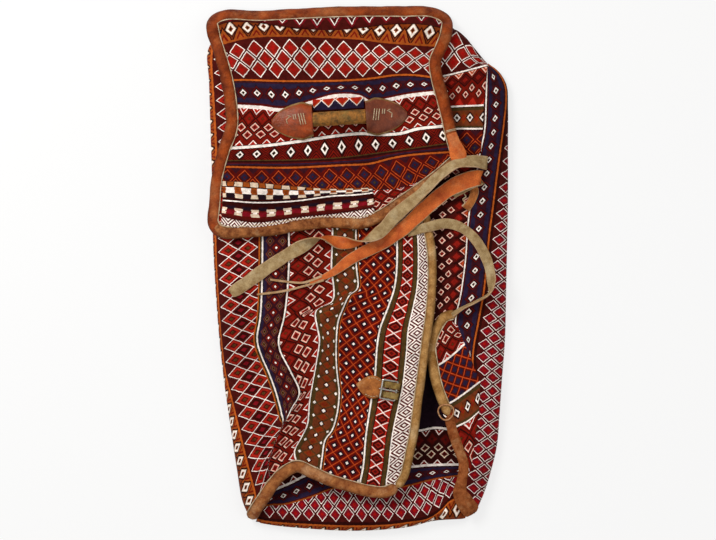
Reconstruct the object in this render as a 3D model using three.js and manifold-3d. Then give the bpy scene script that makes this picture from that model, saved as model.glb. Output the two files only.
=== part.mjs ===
// Mafrash: a woven bedding bag with leather-bound seams, folded flat and lying on its base.
// Millimetres, +Z up, +Y towards the end with the handle, origin under the middle of the bag.
import * as THREE from "three";
import { mergeVertices } from "three/addons/utils/BufferGeometryUtils.js";
import Module from "manifold-3d";

// The folded bag: its outline on the floor, its cloth and the room left inside it
const LAY_WIDTH = 602;
const LAY_LENGTH = 1036;
const CLOTH = 4;
const HOLLOW = 26;
const GAP = 0.3;
const FINEST = 0.05;

// How the cloth rises from its folds, waves and creases
const EDGE_ROUND = 45;
const END_RISE = 80;
const END_ROUND = 60;
const END_OVERHANG = 14;
const LOWER_RISE = 20;
const LOWER_FALL = 75;
const LOWER_SWELL = 22;
const WAVE = 2.5;
const WAVE_LENGTH = 210;
const CREASE_HEIGHT = 6;
const CREASE_REACH = 16;

// Rolled leather on seams and rims
const BINDING_WIDTH = 26;
const BINDING_THICK = 11;

// Leather straps
const STRAP_WIDTH = 26;
const STRAP_THICK = 3;
const THIN_STRAP_WIDTH = 20;
const THONG_WIDTH = 9;
const THONG_RING = 34;
const THONG_THICK = 3;

// Handle
const GRIP_LENGTH = 106;
const GRIP_DIAMETER = 30;
const GRIP_ARCH = 5;
const FINGER_GAP = 8;
const PAD_LENGTH = 82;
const PAD_WIDTH = 74;
const PAD_EDGE = 5;
const PAD_SPARE = 1.5;
const STRIP_WIDTH = 24;
const STRIP_THICK = 2;
const STRIP_MARGIN = 2;

// Buckle
const TAB_LENGTH = 81;
const TAB_WIDTH = 44;
const TAB_THICK = 3;
const FRAME_LENGTH = 34;
const FRAME_WIDTH = 42;
const FRAME_BAR = 4;
const PRONG_DIAMETER = 3.4;
const PRONG_EYE_WIDTH = 5;
const BUCKLE_TURN = -10;

// Heights of the middle of each cloth layer where it lies flat
const LAYER_STEP = BINDING_THICK + 2 * GAP;
const EDGE_LEVEL = CLOTH + 1;
const LOWER_LEVEL = 1.5 * CLOTH + GAP;
const RIGHT_LEVEL = LOWER_LEVEL + CLOTH + HOLLOW;
const LEFT_LEVEL = RIGHT_LEVEL + LAYER_STEP;
const END_LEVEL = LEFT_LEVEL + LAYER_STEP;

// Where the handle and the buckle sit, as shares of half the outline's width and length
const HANDLE_PLACE = [-0.12, 0.57];
const BUCKLE_PLACE = [0.256, -0.479];
const THONG_PLACE = [0.588, -0.56];

// Lines of the plan, as shares of half the outline's width and length
const LEFT_SIDE_FOLD = [
  [-0.721, -0.961], [-0.748, -0.9], [-0.781, -0.784], [-0.821, -0.629], [-0.867, -0.456],
  [-0.907, -0.263], [-0.934, -0.05], [-0.94, 0.104], [-0.967, 0.336], [-0.985, 0.529],
  [-0.993, 0.722], [-0.98, 0.846], [-0.914, 0.903],
];
const LEFT_TOP_FOLD = [[-0.914, 0.903], [-0.648, 0.915], [-0.183, 0.919], [0.316, 0.919]];
const LEFT_FOLD = [...LEFT_SIDE_FOLD, ...LEFT_TOP_FOLD.slice(1)];
const LEFT_RIM = [
  [0.262, -0.849], [0.309, -0.807], [0.342, -0.726], [0.375, -0.629], [0.402, -0.514], [0.429, -0.398],
  [0.455, -0.282], [0.482, -0.166], [0.495, -0.05], [0.488, 0.066], [0.462, 0.162], [0.415, 0.297],
  [0.369, 0.452], [0.336, 0.645], [0.316, 0.838], [0.316, 0.919],
];
const LOWER_LEFT_SEAM = [
  [-0.721, -0.961], [-0.668, -0.927], [-0.621, -0.888], [-0.568, -0.842], [-0.495, -0.795], [-0.402, -0.768],
  [-0.302, -0.792], [-0.183, -0.822], [-0.05, -0.846], [0.083, -0.865], [0.183, -0.869], [0.262, -0.849],
];
const UPPER_LEFT_SEAM = [
  [-0.96, 0.166], [-0.96, 0.239], [-0.934, 0.336], [-0.887, 0.444], [-0.834, 0.537], [-0.841, 0.637],
  [-0.874, 0.745], [-0.914, 0.838], [-0.95, 0.91], [-0.945, 0.95],
];
const UPPER_BASE_SEAM = [
  [-0.945, 0.95], [-0.874, 0.973], [-0.648, 0.969], [-0.382, 0.969], [-0.05, 0.975], [0.282, 0.975],
  [0.508, 0.975], [0.57, 0.95],
];
const UPPER_RIGHT_SEAM = [
  [0.57, 0.95], [0.575, 0.907], [0.548, 0.846], [0.515, 0.792], [0.528, 0.722], [0.561, 0.653],
  [0.595, 0.575], [0.628, 0.49], [0.668, 0.421],
];
const UPPER_RIM = [
  [-0.96, 0.166], [-0.887, 0.135], [-0.748, 0.135], [-0.581, 0.143], [-0.382, 0.162], [-0.15, 0.174],
  [0.03, 0.17], [0.163, 0.201], [0.282, 0.247], [0.415, 0.301], [0.548, 0.359], [0.668, 0.421],
];
const RIGHT_SIDE_FOLD = [
  [0.761, -0.954], [0.807, -0.888], [0.854, -0.792], [0.887, -0.691], [0.92, -0.571], [0.947, -0.436],
  [0.967, -0.282], [0.98, -0.127], [0.988, 0.066], [0.993, 0.259], [0.993, 0.452], [0.993, 0.614],
  [0.98, 0.707], [0.934, 0.757], [0.86, 0.792], [0.801, 0.849], [0.734, 0.9], [0.654, 0.92],
];
const RIGHT_TOP_FOLD = [[0.654, 0.92], [0.302, 0.86]];
const RIGHT_FOLD = [...RIGHT_SIDE_FOLD, ...RIGHT_TOP_FOLD.slice(1)];
const RIGHT_RIM = [
  [0.302, 0.86], [0.316, 0.645], [0.329, 0.452], [0.342, 0.259], [0.362, 0.066], [0.389, -0.12],
];
const LOWER_RIGHT_SEAM = [
  [0.661, -0.181], [0.581, -0.193], [0.522, -0.243], [0.488, -0.305], [0.502, -0.375], [0.528, -0.452],
  [0.568, -0.517], [0.608, -0.571], [0.635, -0.637], [0.674, -0.703], [0.708, -0.764], [0.694, -0.822],
  [0.681, -0.869], [0.708, -0.911], [0.761, -0.954],
];
const LOWER_FOLD = [
  [-0.694, -0.973], [-0.548, -0.986], [-0.316, -0.993], [-0.05, -0.996], [0.282, -0.993], [0.515, -0.985],
  [0.728, -0.965],
];
const LOWER_LEFT_SIDE = [[-0.694, -0.973], [-0.74, -0.784], [-0.79, -0.56], [-0.8, -0.305]];
const LOWER_RIGHT_SIDE = [[0.728, -0.965], [0.8, -0.784], [0.84, -0.56], [0.86, -0.297]];
const LOWER_RIM = [[-0.8, -0.305], [-0.382, -0.293], [-0.05, -0.286], [0.282, -0.282], [0.548, -0.286], [0.86, -0.297]];
const BASE_LEFT = [
  [-0.688, -0.95], [-0.761, -0.753], [-0.841, -0.467], [-0.887, -0.205], [-0.914, 0.104], [-0.934, 0.336],
  [-0.958, 0.645], [-0.958, 0.838], [-0.945, 0.95],
];
const BASE_RIGHT = [
  [0.734, -0.938], [0.821, -0.784], [0.887, -0.571], [0.934, -0.32], [0.96, 0.027], [0.968, 0.452],
  [0.955, 0.664], [0.841, 0.765], [0.701, 0.88], [0.57, 0.95],
];
const BASE_LOWER = [[-0.688, -0.95], [-0.316, -0.968], [0.282, -0.968], [0.734, -0.938]];

// Creases in the long walls: the slip across the left wall, its pleat, and the two mitres of the right wall
const LEFT_SLIP = [[0.05, -0.1], [-0.18, -0.17], [-0.36, -0.25], [-0.58, -0.3], [-0.88, -0.36]];
const LEFT_PLEAT = [[-0.38, -0.49], [-0.49, -0.6], [-0.57, -0.71], [-0.6, -0.79]];
const UPPER_MITRE = [[0.86, 0.77], [0.85, 0.6], [0.83, 0.45]];
const LOWER_MITRE = [[0.66, -0.2], [0.76, -0.35], [0.81, -0.44], [0.79, -0.56], [0.8, -0.8]];

const UP = new THREE.Vector3(0, 0, 1);

const wasm = await Module();
wasm.setup();

const bag = new THREE.Group();

// One place of the plan in millimetres
function at([u, v]) {
  return new THREE.Vector3((u * LAY_WIDTH) / 2, (v * LAY_LENGTH) / 2, 0);
}

function line(shares) {
  return new THREE.CatmullRomCurve3(shares.map(at), false, "centripetal");
}

// Distance from a line of the plan, as a function of x and y
function distanceFrom(shares) {
  const points = line(shares).getSpacedPoints(4 * shares.length);
  const span = new THREE.Line3();
  const near = new THREE.Vector3();
  return (x, y) => {
    const place = new THREE.Vector3(x, y, 0);
    let least = Infinity;
    for (let i = 1; i < points.length; i++) {
      span.set(points[i - 1], points[i]).closestPointToPoint(place, true, near);
      least = Math.min(least, near.distanceTo(place));
    }
    return least;
  };
}

// Round shoulder: 0 at a fold, 1 from the reach inward
function shoulder(distance, reach) {
  const left = 1 - Math.min(distance / reach, 1);
  return Math.sqrt(1 - left * left);
}

function crease(shares, height) {
  const distance = distanceFrom(shares);
  return (x, y) => {
    const share = Math.min(distance(x, y) / CREASE_REACH, 1);
    return height * (1 - share * share) ** 2;
  };
}

// 0 beside a fitting that needs flat cloth under it, 1 away from it
function calmAround(place, halfWidth, halfLength) {
  const centre = at(place);
  return (x, y) => {
    const share = Math.max(Math.abs(x - centre.x) / halfWidth, Math.abs(y - centre.y) / halfLength);
    return THREE.MathUtils.smoothstep(share, 1, 1.5);
  };
}

const calmAtHandle = calmAround(HANDLE_PLACE, GRIP_LENGTH / 2 + PAD_LENGTH, PAD_WIDTH * 0.9);
const calmAtBuckle = calmAround(BUCKLE_PLACE, TAB_LENGTH, TAB_WIDTH);

// The wave that every layer above the hollow shares, so that the layers stay apart
function wave(x, y) {
  const along = Math.sin((2 * Math.PI * (y + 0.35 * x)) / WAVE_LENGTH);
  const across = Math.sin((2 * Math.PI * (x - 0.2 * y)) / (1.3 * WAVE_LENGTH));
  return WAVE * along * across * calmAtHandle(x, y) * calmAtBuckle(x, y);
}

const fromLeftFold = distanceFrom(LEFT_FOLD);
const fromRightFold = distanceFrom(RIGHT_FOLD);
const fromLowerFold = distanceFrom(LOWER_FOLD);
const fromUpperBase = distanceFrom(UPPER_BASE_SEAM);
const leftSlip = crease(LEFT_SLIP, CREASE_HEIGHT);
const leftPleat = crease(LEFT_PLEAT, CREASE_HEIGHT);
const upperMitre = crease(UPPER_MITRE, CREASE_HEIGHT / 2);
const lowerMitre = crease(LOWER_MITRE, CREASE_HEIGHT / 2);

function leftHeight(x, y) {
  const rise = shoulder(fromLeftFold(x, y), EDGE_ROUND);
  return EDGE_LEVEL + rise * (LEFT_LEVEL - EDGE_LEVEL + wave(x, y) + leftSlip(x, y) + leftPleat(x, y));
}

function rightHeight(x, y) {
  const rise = shoulder(fromRightFold(x, y), EDGE_ROUND);
  return EDGE_LEVEL + rise * (RIGHT_LEVEL - EDGE_LEVEL + wave(x, y) + upperMitre(x, y) + lowerMitre(x, y));
}

function endHeight(x, y) {
  const rise = shoulder(fromUpperBase(x, y), END_RISE) * shoulder(fromLeftFold(x, y) + END_OVERHANG, END_ROUND);
  return LOWER_LEVEL + rise * (END_LEVEL - LOWER_LEVEL + wave(x, y));
}

function lowerHeight(x, y) {
  const distance = fromLowerFold(x, y);
  const fall = THREE.MathUtils.smoothstep(distance, LOWER_RISE, LOWER_RISE + LOWER_FALL);
  const fromCorner = Math.min(fromLeftFold(x, y), fromRightFold(x, y)) - LOWER_RISE;
  const swell = LOWER_SWELL * shoulder(Math.max(fromCorner, 0), EDGE_ROUND);
  return LOWER_LEVEL + swell * shoulder(distance, LOWER_RISE) * (1 - fall);
}

function baseHeight() {
  return CLOTH / 2;
}

// Moves every point of a geometry and leaves it as a closed surface with shared points
function bend(geometry, place) {
  const points = geometry.getAttribute("position");
  for (let i = 0; i < points.count; i++) {
    const spot = place(points.getX(i), points.getY(i), points.getZ(i));
    points.setXYZ(i, spot.x, spot.y, spot.z);
  }
  return geometry;
}

function solid(geometry) {
  const bare = geometry.clone();
  bare.deleteAttribute("normal");
  bare.deleteAttribute("uv");
  const merged = mergeVertices(bare, 1e-3);
  return new wasm.Manifold(
    new wasm.Mesh({
      numProp: 3,
      vertProperties: new Float32Array(merged.getAttribute("position").array),
      triVerts: new Uint32Array(merged.index.array),
    }),
  );
}

// A geometry from the largest piece of a body: points joined by an edge shorter than the finest kept become one
function geometryOf(body) {
  const pieces = body.simplify(FINEST).decompose();
  pieces.sort((a, b) => b.volume() - a.volume());
  const mesh = pieces[0].getMesh();
  const points = new THREE.BufferAttribute(mesh.vertProperties, 3);
  const corners = Array.from(mesh.triVerts);
  const spot = (index) => new THREE.Vector3().fromBufferAttribute(points, index);
  const kept = Array.from({ length: points.count }, (_, index) => index);
  const keeper = (index) => (kept[index] === index ? index : keeper(kept[index]));
  corners.forEach((corner, i) => {
    const next = corners[i % 3 === 2 ? i - 2 : i + 1];
    const [from, to] = [keeper(corner), keeper(next)];
    if (from !== to && spot(from).distanceTo(spot(to)) < FINEST) {
      kept[to] = from;
    }
  });
  const faces = [];
  for (let i = 0; i < corners.length; i += 3) {
    const face = corners.slice(i, i + 3).map(keeper);
    if (new Set(face).size === 3) {
      faces.push(...face);
    }
  }
  const geometry = new THREE.BufferGeometry();
  geometry.setAttribute("position", points);
  geometry.setIndex(faces);
  geometry.computeVertexNormals();
  return geometry;
}

function cut(geometry, cutters) {
  return geometryOf(cutters.reduce((body, cutter) => body.subtract(solid(cutter)), solid(geometry)));
}

function join(geometries) {
  return geometryOf(geometries.map(solid).reduce((whole, piece) => whole.add(piece)));
}

function add(name, geometry, material, parent = bag) {
  const mesh = new THREE.Mesh(geometry, material);
  mesh.name = name;
  parent.add(mesh);
  return mesh;
}

// A patch of cloth between four lines of the plan that share their corners, lifted to a height
function sheet({ lower, upper, left, right, height, columns, rows, crowdX = same, crowdY = same }) {
  const sides = [lower, upper, left, right].map(line);
  const spot = (s, t) => {
    const [low, high] = [sides[0].getPointAt(s), sides[1].getPointAt(s)];
    const [west, east] = [sides[2].getPointAt(t), sides[3].getPointAt(t)];
    const place = low.multiplyScalar(1 - t).addScaledVector(high, t);
    place.addScaledVector(west, 1 - s).addScaledVector(east, s);
    place.addScaledVector(at(lower[0]), -(1 - s) * (1 - t)).addScaledVector(at(lower.at(-1)), -s * (1 - t));
    place.addScaledVector(at(upper[0]), -(1 - s) * t).addScaledVector(at(upper.at(-1)), -s * t);
    return place.setZ(height(place.x, place.y));
  };
  const step = 1e-3;
  return bend(new THREE.BoxGeometry(1, 1, 1, columns, rows, 1), (x, y, z) => {
    const s = crowdX(x + 0.5);
    const t = crowdY(y + 0.5);
    const alongS = spot(Math.min(s + step, 1), t).sub(spot(Math.max(s - step, 0), t));
    const alongT = spot(s, Math.min(t + step, 1)).sub(spot(s, Math.max(t - step, 0)));
    const normal = alongS.cross(alongT).normalize();
    return spot(s, t).addScaledVector(normal, z * CLOTH);
  });
}

// Spacings that put more columns or rows beside a fold
function same(share) {
  return share;
}

function crowdStart(share) {
  return share ** 1.8;
}

function crowdEnd(share) {
  return 1 - (1 - share) ** 1.8;
}

// Rolled leather along a line of the plan: a flattened tube at the height of the cloth it binds
function binding(shares, height, steps, lift = 0) {
  const path = line(shares);
  const tube = (spare) =>
    bend(new THREE.CylinderGeometry(0.5, 0.5, 1, 8, steps), (across, along, up) => {
      const share = along + 0.5;
      const centre = path.getPointAt(share);
      const side = path.getTangentAt(share).cross(UP);
      const level = Math.max(height(centre.x, centre.y), BINDING_THICK / 2) + lift;
      centre.addScaledVector(side, across * (BINDING_WIDTH + 2 * spare));
      return centre.setZ(level + up * (BINDING_THICK + 2 * spare));
    });
  return { leather: tube(0), room: tube(GAP) };
}

// The level direction across a strap: where the strap turns back on itself it keeps the one before
function levelSide(tangent, before) {
  const level = tangent.clone().cross(UP);
  if (before && level.length() < 0.3) {
    return before.clone().projectOnPlane(tangent).normalize();
  }
  const flip = before && level.dot(before) < 0 ? -1 : 1;
  return level.normalize().multiplyScalar(flip);
}

// A flat strap through points of the plan: each has a height and a roll about the strap's own line in degrees
function ribbon(stations, width, stepsEach = 3, columns = 1) {
  const steps = stepsEach * stations.length;
  const spots = stations.map(([u, v, z]) => at([u, v]).setZ(z));
  const path = new THREE.CatmullRomCurve3(spots, false, "centripetal");
  const sides = [];
  for (let i = 0; i <= steps; i++) {
    sides.push(levelSide(path.getTangent(i / steps), sides[i - 1]));
  }
  const rollAt = (share) => {
    const index = Math.min(Math.floor(share * (stations.length - 1)), stations.length - 2);
    const [, , , from = 0] = stations[index];
    const [, , , to = 0] = stations[index + 1];
    return THREE.MathUtils.degToRad(from + (to - from) * (share * (stations.length - 1) - index));
  };
  return bend(new THREE.BoxGeometry(1, 1, 1, columns, steps, 1), (across, along, up) => {
    const share = along + 0.5;
    const tangent = path.getTangent(share);
    const side = sides[Math.round(share * steps)].clone().applyAxisAngle(tangent, rollAt(share));
    const face = side.clone().cross(tangent);
    return path.getPoint(share).addScaledVector(side, across * width).addScaledVector(face, up * STRAP_THICK);
  });
}

// Height of the middle of a strap that lies on a layer, raised by a lift
function lyingOn(height, lift) {
  return ([u, v], roll = 0, extra = 0) => {
    const spot = at([u, v]);
    return [u, v, height(spot.x, spot.y) + CLOTH / 2 + GAP + STRAP_THICK / 2 + lift + extra, roll];
  };
}

function materialOf(color, roughness, metalness = 0) {
  return new THREE.MeshStandardMaterial({ color, roughness, metalness });
}

const wool = materialOf(0x6e1a16, 0.95);
const darkWool = materialOf(0x3a1416, 0.95);
const bindingLeather = materialOf(0xa0743f, 0.7);
const strapLeather = materialOf(0xc8622a, 0.65);
const suede = materialOf(0xa89878, 0.9);
const gripLeather = materialOf(0x8f6a44, 0.75);
const padLeather = materialOf(0xb5672c, 0.65);
const tabLeather = materialOf(0xa87644, 0.7);
const stripWool = materialOf(0x7d1f2a, 0.95);
const steel = materialOf(0xb8b6b0, 0.35, 1);

// Bindings first, because the cloth stops at them
const upperSeam = binding(
  [...UPPER_LEFT_SEAM, ...UPPER_BASE_SEAM.slice(1), ...UPPER_RIGHT_SEAM.slice(1)],
  endHeight,
  52,
);
const upperRim = binding(UPPER_RIM, endHeight, 20);
const leftRim = binding(LEFT_RIM.slice(0, -1), leftHeight, 22);
const lowerLeftSeam = binding(LOWER_LEFT_SEAM, leftHeight, 24);
const rightRim = binding([[0.306, 0.78], ...RIGHT_RIM.slice(1)], rightHeight, 10);
const lowerRightSeam = binding(LOWER_RIGHT_SEAM, rightHeight, 26);
const lowerRim = binding(LOWER_RIM, lowerHeight, 12, BINDING_THICK / 2 - CLOTH / 2);

add("upper_seam_binding", upperSeam.leather, bindingLeather);
add("upper_rim_binding", cut(upperRim.leather, [upperSeam.room]), bindingLeather);
add("left_rim_binding", leftRim.leather, bindingLeather);
add("lower_left_seam_binding", cut(lowerLeftSeam.leather, [leftRim.room]), bindingLeather);
add("right_rim_binding", rightRim.leather, bindingLeather);
add("lower_right_seam_binding", lowerRightSeam.leather, bindingLeather);
add("lower_rim_binding", lowerRim.leather, bindingLeather);

// Cloth panels
const basePanel = sheet({
  lower: BASE_LOWER,
  upper: UPPER_BASE_SEAM,
  left: BASE_LEFT,
  right: BASE_RIGHT,
  height: baseHeight,
  columns: 8,
  rows: 14,
});
add("base_panel", cut(basePanel, [upperSeam.room]), darkWool);

const lowerEndPanel = sheet({
  lower: LOWER_FOLD,
  upper: LOWER_RIM,
  left: LOWER_LEFT_SIDE,
  right: LOWER_RIGHT_SIDE,
  height: lowerHeight,
  columns: 14,
  rows: 12,
  crowdY: crowdStart,
});
add("lower_end_panel", cut(lowerEndPanel, [lowerLeftSeam.room, lowerRightSeam.room, lowerRim.room]), wool);

const rightWall = sheet({
  lower: [RIGHT_RIM.at(-1), ...LOWER_RIGHT_SEAM.slice(2)],
  upper: [...RIGHT_TOP_FOLD].reverse(),
  left: [...RIGHT_RIM].reverse(),
  right: RIGHT_SIDE_FOLD,
  height: rightHeight,
  columns: 12,
  rows: 20,
  crowdX: crowdEnd,
});
add("right_wall", cut(rightWall, [rightRim.room, lowerRightSeam.room, upperSeam.room]), wool);

const leftWall = sheet({
  lower: LOWER_LEFT_SEAM,
  upper: LEFT_TOP_FOLD,
  left: LEFT_SIDE_FOLD,
  right: LEFT_RIM,
  height: leftHeight,
  columns: 16,
  rows: 22,
  crowdX: crowdStart,
});
add("left_wall", cut(leftWall, [leftRim.room, lowerLeftSeam.room, upperSeam.room]), wool);

const upperEndPanel = sheet({
  lower: UPPER_RIM,
  upper: UPPER_BASE_SEAM,
  left: UPPER_LEFT_SEAM,
  right: [...UPPER_RIGHT_SEAM].reverse(),
  height: endHeight,
  columns: 14,
  rows: 12,
  crowdY: crowdEnd,
});
add("upper_end_panel", cut(upperEndPanel, [upperSeam.room, upperRim.room]), wool);

// Handle: a stuffed grip between two pads on the upper end panel, with a woven strip beside it
const handle = new THREE.Group();
handle.position.copy(at(HANDLE_PLACE)).setZ(END_LEVEL + CLOTH / 2);
bag.add(handle);

const grip = bend(new THREE.CylinderGeometry(0.5, 0.5, 1, 12, 8), (across, along, up) => {
  const arch = GRIP_ARCH * (1 - 4 * along * along);
  const level = FINGER_GAP + GRIP_DIAMETER / 2 + arch;
  return new THREE.Vector3(along * GRIP_LENGTH, -across * GRIP_DIAMETER, level + up * GRIP_DIAMETER);
});
add("handle_grip", grip, gripLeather, handle);

// A pad is a shoe: blunt and thin at its toe, as high as the grip at its heel
function pad() {
  const heel = FINGER_GAP + GRIP_DIAMETER + 1;
  const floor = 0.2;
  const shoe = bend(new THREE.CylinderGeometry(1, 1, 1, 14, 10), (across, along, up) => {
    const share = along + 0.5;
    const toe = 0.4 + 0.6 * shoulder(share, 0.25);
    const swell = Math.sin(Math.PI * share ** 0.85);
    const width = toe * (GRIP_DIAMETER + 2 * PAD_SPARE + (PAD_WIDTH - GRIP_DIAMETER) * swell);
    const height = PAD_EDGE + (heel - PAD_EDGE) * share ** 2.4;
    const rise = (Math.max(up, -floor) + floor) / (1 + floor);
    return new THREE.Vector3(share * PAD_LENGTH, (-across * width) / 2, rise * height);
  });
  return shoe.translate(-PAD_LENGTH - GRIP_LENGTH / 2 - GAP, 0, GAP);
}
add("handle_left_pad", pad(), padLeather, handle);
add("handle_right_pad", pad(), padLeather, handle).rotation.z = Math.PI;

const strip = new THREE.BoxGeometry(GRIP_LENGTH - 2 * STRIP_MARGIN, STRIP_WIDTH, STRIP_THICK);
strip.translate(0, GRIP_DIAMETER / 2 + STRIP_WIDTH / 2 + STRIP_MARGIN, STRIP_THICK / 2 + GAP);
add("handle_strip", strip, stripWool, handle);

// Straps
const onRight = lyingOn(rightHeight, 0.5);
const onLeft = lyingOn(leftHeight, 0.5);
const overBinding = BINDING_THICK / 2 - CLOTH / 2 + 0.5;
const onEndRim = lyingOn(endHeight, overBinding);
const onLeftRim = lyingOn(leftHeight, overBinding + 1);
const onRightSeam = lyingOn(rightHeight, overBinding);

const upperStrap = ribbon(
  [
    onRight([0.86, 0.405], 0, 1.5),
    onRight([0.76, 0.405], 0, 24),
    onEndRim([0.648, 0.386], 0, 0.5),
    onEndRim([0.522, 0.33]),
    onEndRim([0.382, 0.262]),
    onEndRim([0.249, 0.197]),
    onEndRim([0.15, 0.135]),
    onLeft([0.03, 0.1], 90, STRAP_WIDTH * 0.6),
    onLeft([-0.103, 0.092], 180, 3),
    onLeft([-0.249, 0.112], 270, STRAP_WIDTH * 0.6),
    onLeft([-0.382, 0.075], 360, 3),
    onLeft([-0.581, 0.003], 360, 1),
    onLeft([-0.748, -0.065], 360, 1),
    onLeft([-0.841, -0.102], 360, 3),
  ],
  STRAP_WIDTH,
  5,
  2,
);
add("upper_strap", upperStrap, suede);

const strapTab = ribbon([onRight([0.694, 0.212]), onRight([0.741, 0.263]), onRight([0.774, 0.313])], STRAP_WIDTH * 0.85);
add("strap_tab", strapTab, tabLeather);

const doubled = STRAP_THICK + 4 * GAP;
const lowerStrap = join([
  ribbon(
    [
      onRight([0.628, 0.285], 0, doubled),
      onRight([0.734, 0.32], 0, doubled),
      onRight([0.82, 0.345], 0, doubled + 4),
      onRight([0.741, 0.318], 0, doubled + 9),
      onRight([0.615, 0.28], 0, doubled + 10),
      onLeftRim([0.449, 0.23]),
      onLeftRim([0.282, 0.155]),
      onLeft([0.15, 0.093], 0, 1.5),
      onLeft([-0.017, 0.042], 0, 1),
      onLeft([-0.183, -0.012], 0, 1),
      onLeft([-0.329, -0.058], 0, 1),
    ],
    STRAP_WIDTH,
  ),
  ribbon([onLeft([-0.302, -0.043], 0, 1), onLeft([-0.448, -0.05], 0, 0.5), onLeft([-0.595, -0.046])], THONG_WIDTH),
  ribbon([onLeft([-0.302, -0.06], 0, 1), onLeft([-0.482, -0.083], 0, 0.5), onLeft([-0.668, -0.106])], THONG_WIDTH),
]);
add("lower_strap", lowerStrap, strapLeather);

const rightStrap = ribbon(
  [
    onLeft([0.33, 0.135], 0, 0.7),
    onLeft([0.39, 0.143], 0, 0.7),
    onLeftRim([0.468, 0.155]),
    onRight([0.595, 0.163], 0, 6),
    onRight([0.701, 0.139], 0, 2),
    onRight([0.794, 0.089], 0, 1.5),
    onRight([0.854, 0.019], 0, 1.5),
    onRight([0.88, -0.05], 25, 6),
    onRight([0.862, -0.104], 65, THIN_STRAP_WIDTH / 2),
    onRight([0.787, -0.139], 65, THIN_STRAP_WIDTH / 2),
    onRight([0.701, -0.162], 30, 6),
    onRightSeam([0.62, -0.19]),
  ],
  THIN_STRAP_WIDTH,
);
add("right_strap", rightStrap, suede);

const ring = new THREE.TorusGeometry((THONG_RING - THONG_THICK) / 2, THONG_THICK / 2, 6, 18);
const ringSpot = at(THONG_PLACE);
ringSpot.z = rightHeight(ringSpot.x, ringSpot.y) + BINDING_THICK / 2 + GAP + THONG_THICK / 2;
add("thong_ring", ring, suede).position.copy(ringSpot);

// Buckle: its group's origin is on the cloth under the bar that the frame and the prong turn on
const buckle = new THREE.Group();
buckle.position.copy(at(BUCKLE_PLACE)).setZ(LEFT_LEVEL + CLOTH / 2 + GAP);
buckle.rotation.z = THREE.MathUtils.degToRad(BUCKLE_TURN);
bag.add(buckle);

const eyeRadius = (FRAME_BAR * Math.SQRT2) / 2 + GAP;
const barHeight = TAB_THICK + eyeRadius;
const loopWidth = FRAME_WIDTH - 2 * FRAME_BAR - 4 * GAP;
const leafEnd = FRAME_LENGTH - FRAME_BAR;

// Extrudes a side view, drawn in x and z, to a width across the buckle
function across(shape, width) {
  const geometry = new THREE.ExtrudeGeometry(shape, { depth: width, bevelEnabled: false, curveSegments: 8 });
  return geometry.translate(0, 0, -width / 2).rotateX(Math.PI / 2);
}

function buckleTab() {
  const leaf = new THREE.Shape();
  leaf.moveTo(-leafEnd, -loopWidth / 2);
  leaf.quadraticCurveTo(-TAB_LENGTH * 0.55, -TAB_WIDTH * 0.8, -TAB_LENGTH, 0);
  leaf.quadraticCurveTo(-TAB_LENGTH * 0.55, TAB_WIDTH * 0.8, -leafEnd, loopWidth / 2);
  const leafPlate = new THREE.ExtrudeGeometry(leaf, { depth: TAB_THICK, bevelEnabled: false, curveSegments: 8 });

  const nose = eyeRadius + TAB_THICK;
  const loop = new THREE.Shape();
  loop.moveTo(-leafEnd - 1, 0);
  loop.lineTo(0, 0);
  loop.absarc(0, barHeight, nose, -Math.PI / 2, Math.PI / 2, false);
  loop.lineTo(-1.5 * nose, 2 * TAB_THICK);
  loop.lineTo(-0.8 * leafEnd, 2 * TAB_THICK);
  loop.lineTo(-0.8 * leafEnd, TAB_THICK);
  loop.lineTo(-leafEnd - 1, TAB_THICK);
  const hole = new THREE.Path();
  hole.absarc(0, barHeight, eyeRadius, 0, 2 * Math.PI, true);
  loop.holes.push(hole);

  const slot = new THREE.BoxGeometry(3.6 * nose, PRONG_EYE_WIDTH + 2, 4 * nose);
  slot.translate(-0.4 * nose, 0, nose);
  return cut(join([leafPlate, across(loop, loopWidth)]), [slot]);
}
add("buckle_tab", buckleTab(), tabLeather, buckle);

function rectangle(path, back, front, halfWidth) {
  path.moveTo(back, -halfWidth);
  path.lineTo(front, -halfWidth);
  path.lineTo(front, halfWidth);
  path.lineTo(back, halfWidth);
  path.closePath();
  return path;
}

function buckleFrame() {
  const bevel = FRAME_BAR / 5;
  const back = FRAME_BAR / 2 - FRAME_LENGTH;
  const outline = rectangle(new THREE.Shape(), back, FRAME_BAR / 2, FRAME_WIDTH / 2);
  outline.holes.push(rectangle(new THREE.Path(), back + FRAME_BAR, -FRAME_BAR / 2, FRAME_WIDTH / 2 - FRAME_BAR));
  const frame = new THREE.ExtrudeGeometry(outline, {
    depth: FRAME_BAR - 2 * bevel,
    bevelThickness: bevel,
    bevelSize: bevel,
    bevelOffset: -bevel,
    bevelSegments: 1,
  });
  return frame.translate(0, 0, barHeight - FRAME_BAR / 2 + bevel);
}
add("buckle_frame", buckleFrame(), steel, buckle);

function buckleProng() {
  const eye = new THREE.Shape();
  eye.absarc(0, barHeight, eyeRadius + 2, 0, 2 * Math.PI, false);
  const hole = new THREE.Path();
  hole.absarc(0, barHeight, eyeRadius, 0, 2 * Math.PI, true);
  eye.holes.push(hole);
  const from = -0.85 * eyeRadius;
  const to = -FRAME_LENGTH - 1;
  const shaft = new THREE.CylinderGeometry(PRONG_DIAMETER / 2, PRONG_DIAMETER / 2, from - to, 8);
  shaft.rotateZ(Math.PI / 2);
  shaft.translate((from + to) / 2, 0, barHeight + FRAME_BAR / 2 + GAP + PRONG_DIAMETER / 2);
  return join([across(eye, PRONG_EYE_WIDTH), shaft]);
}
add("buckle_prong", buckleProng(), steel, buckle);

export default bag;
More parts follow.
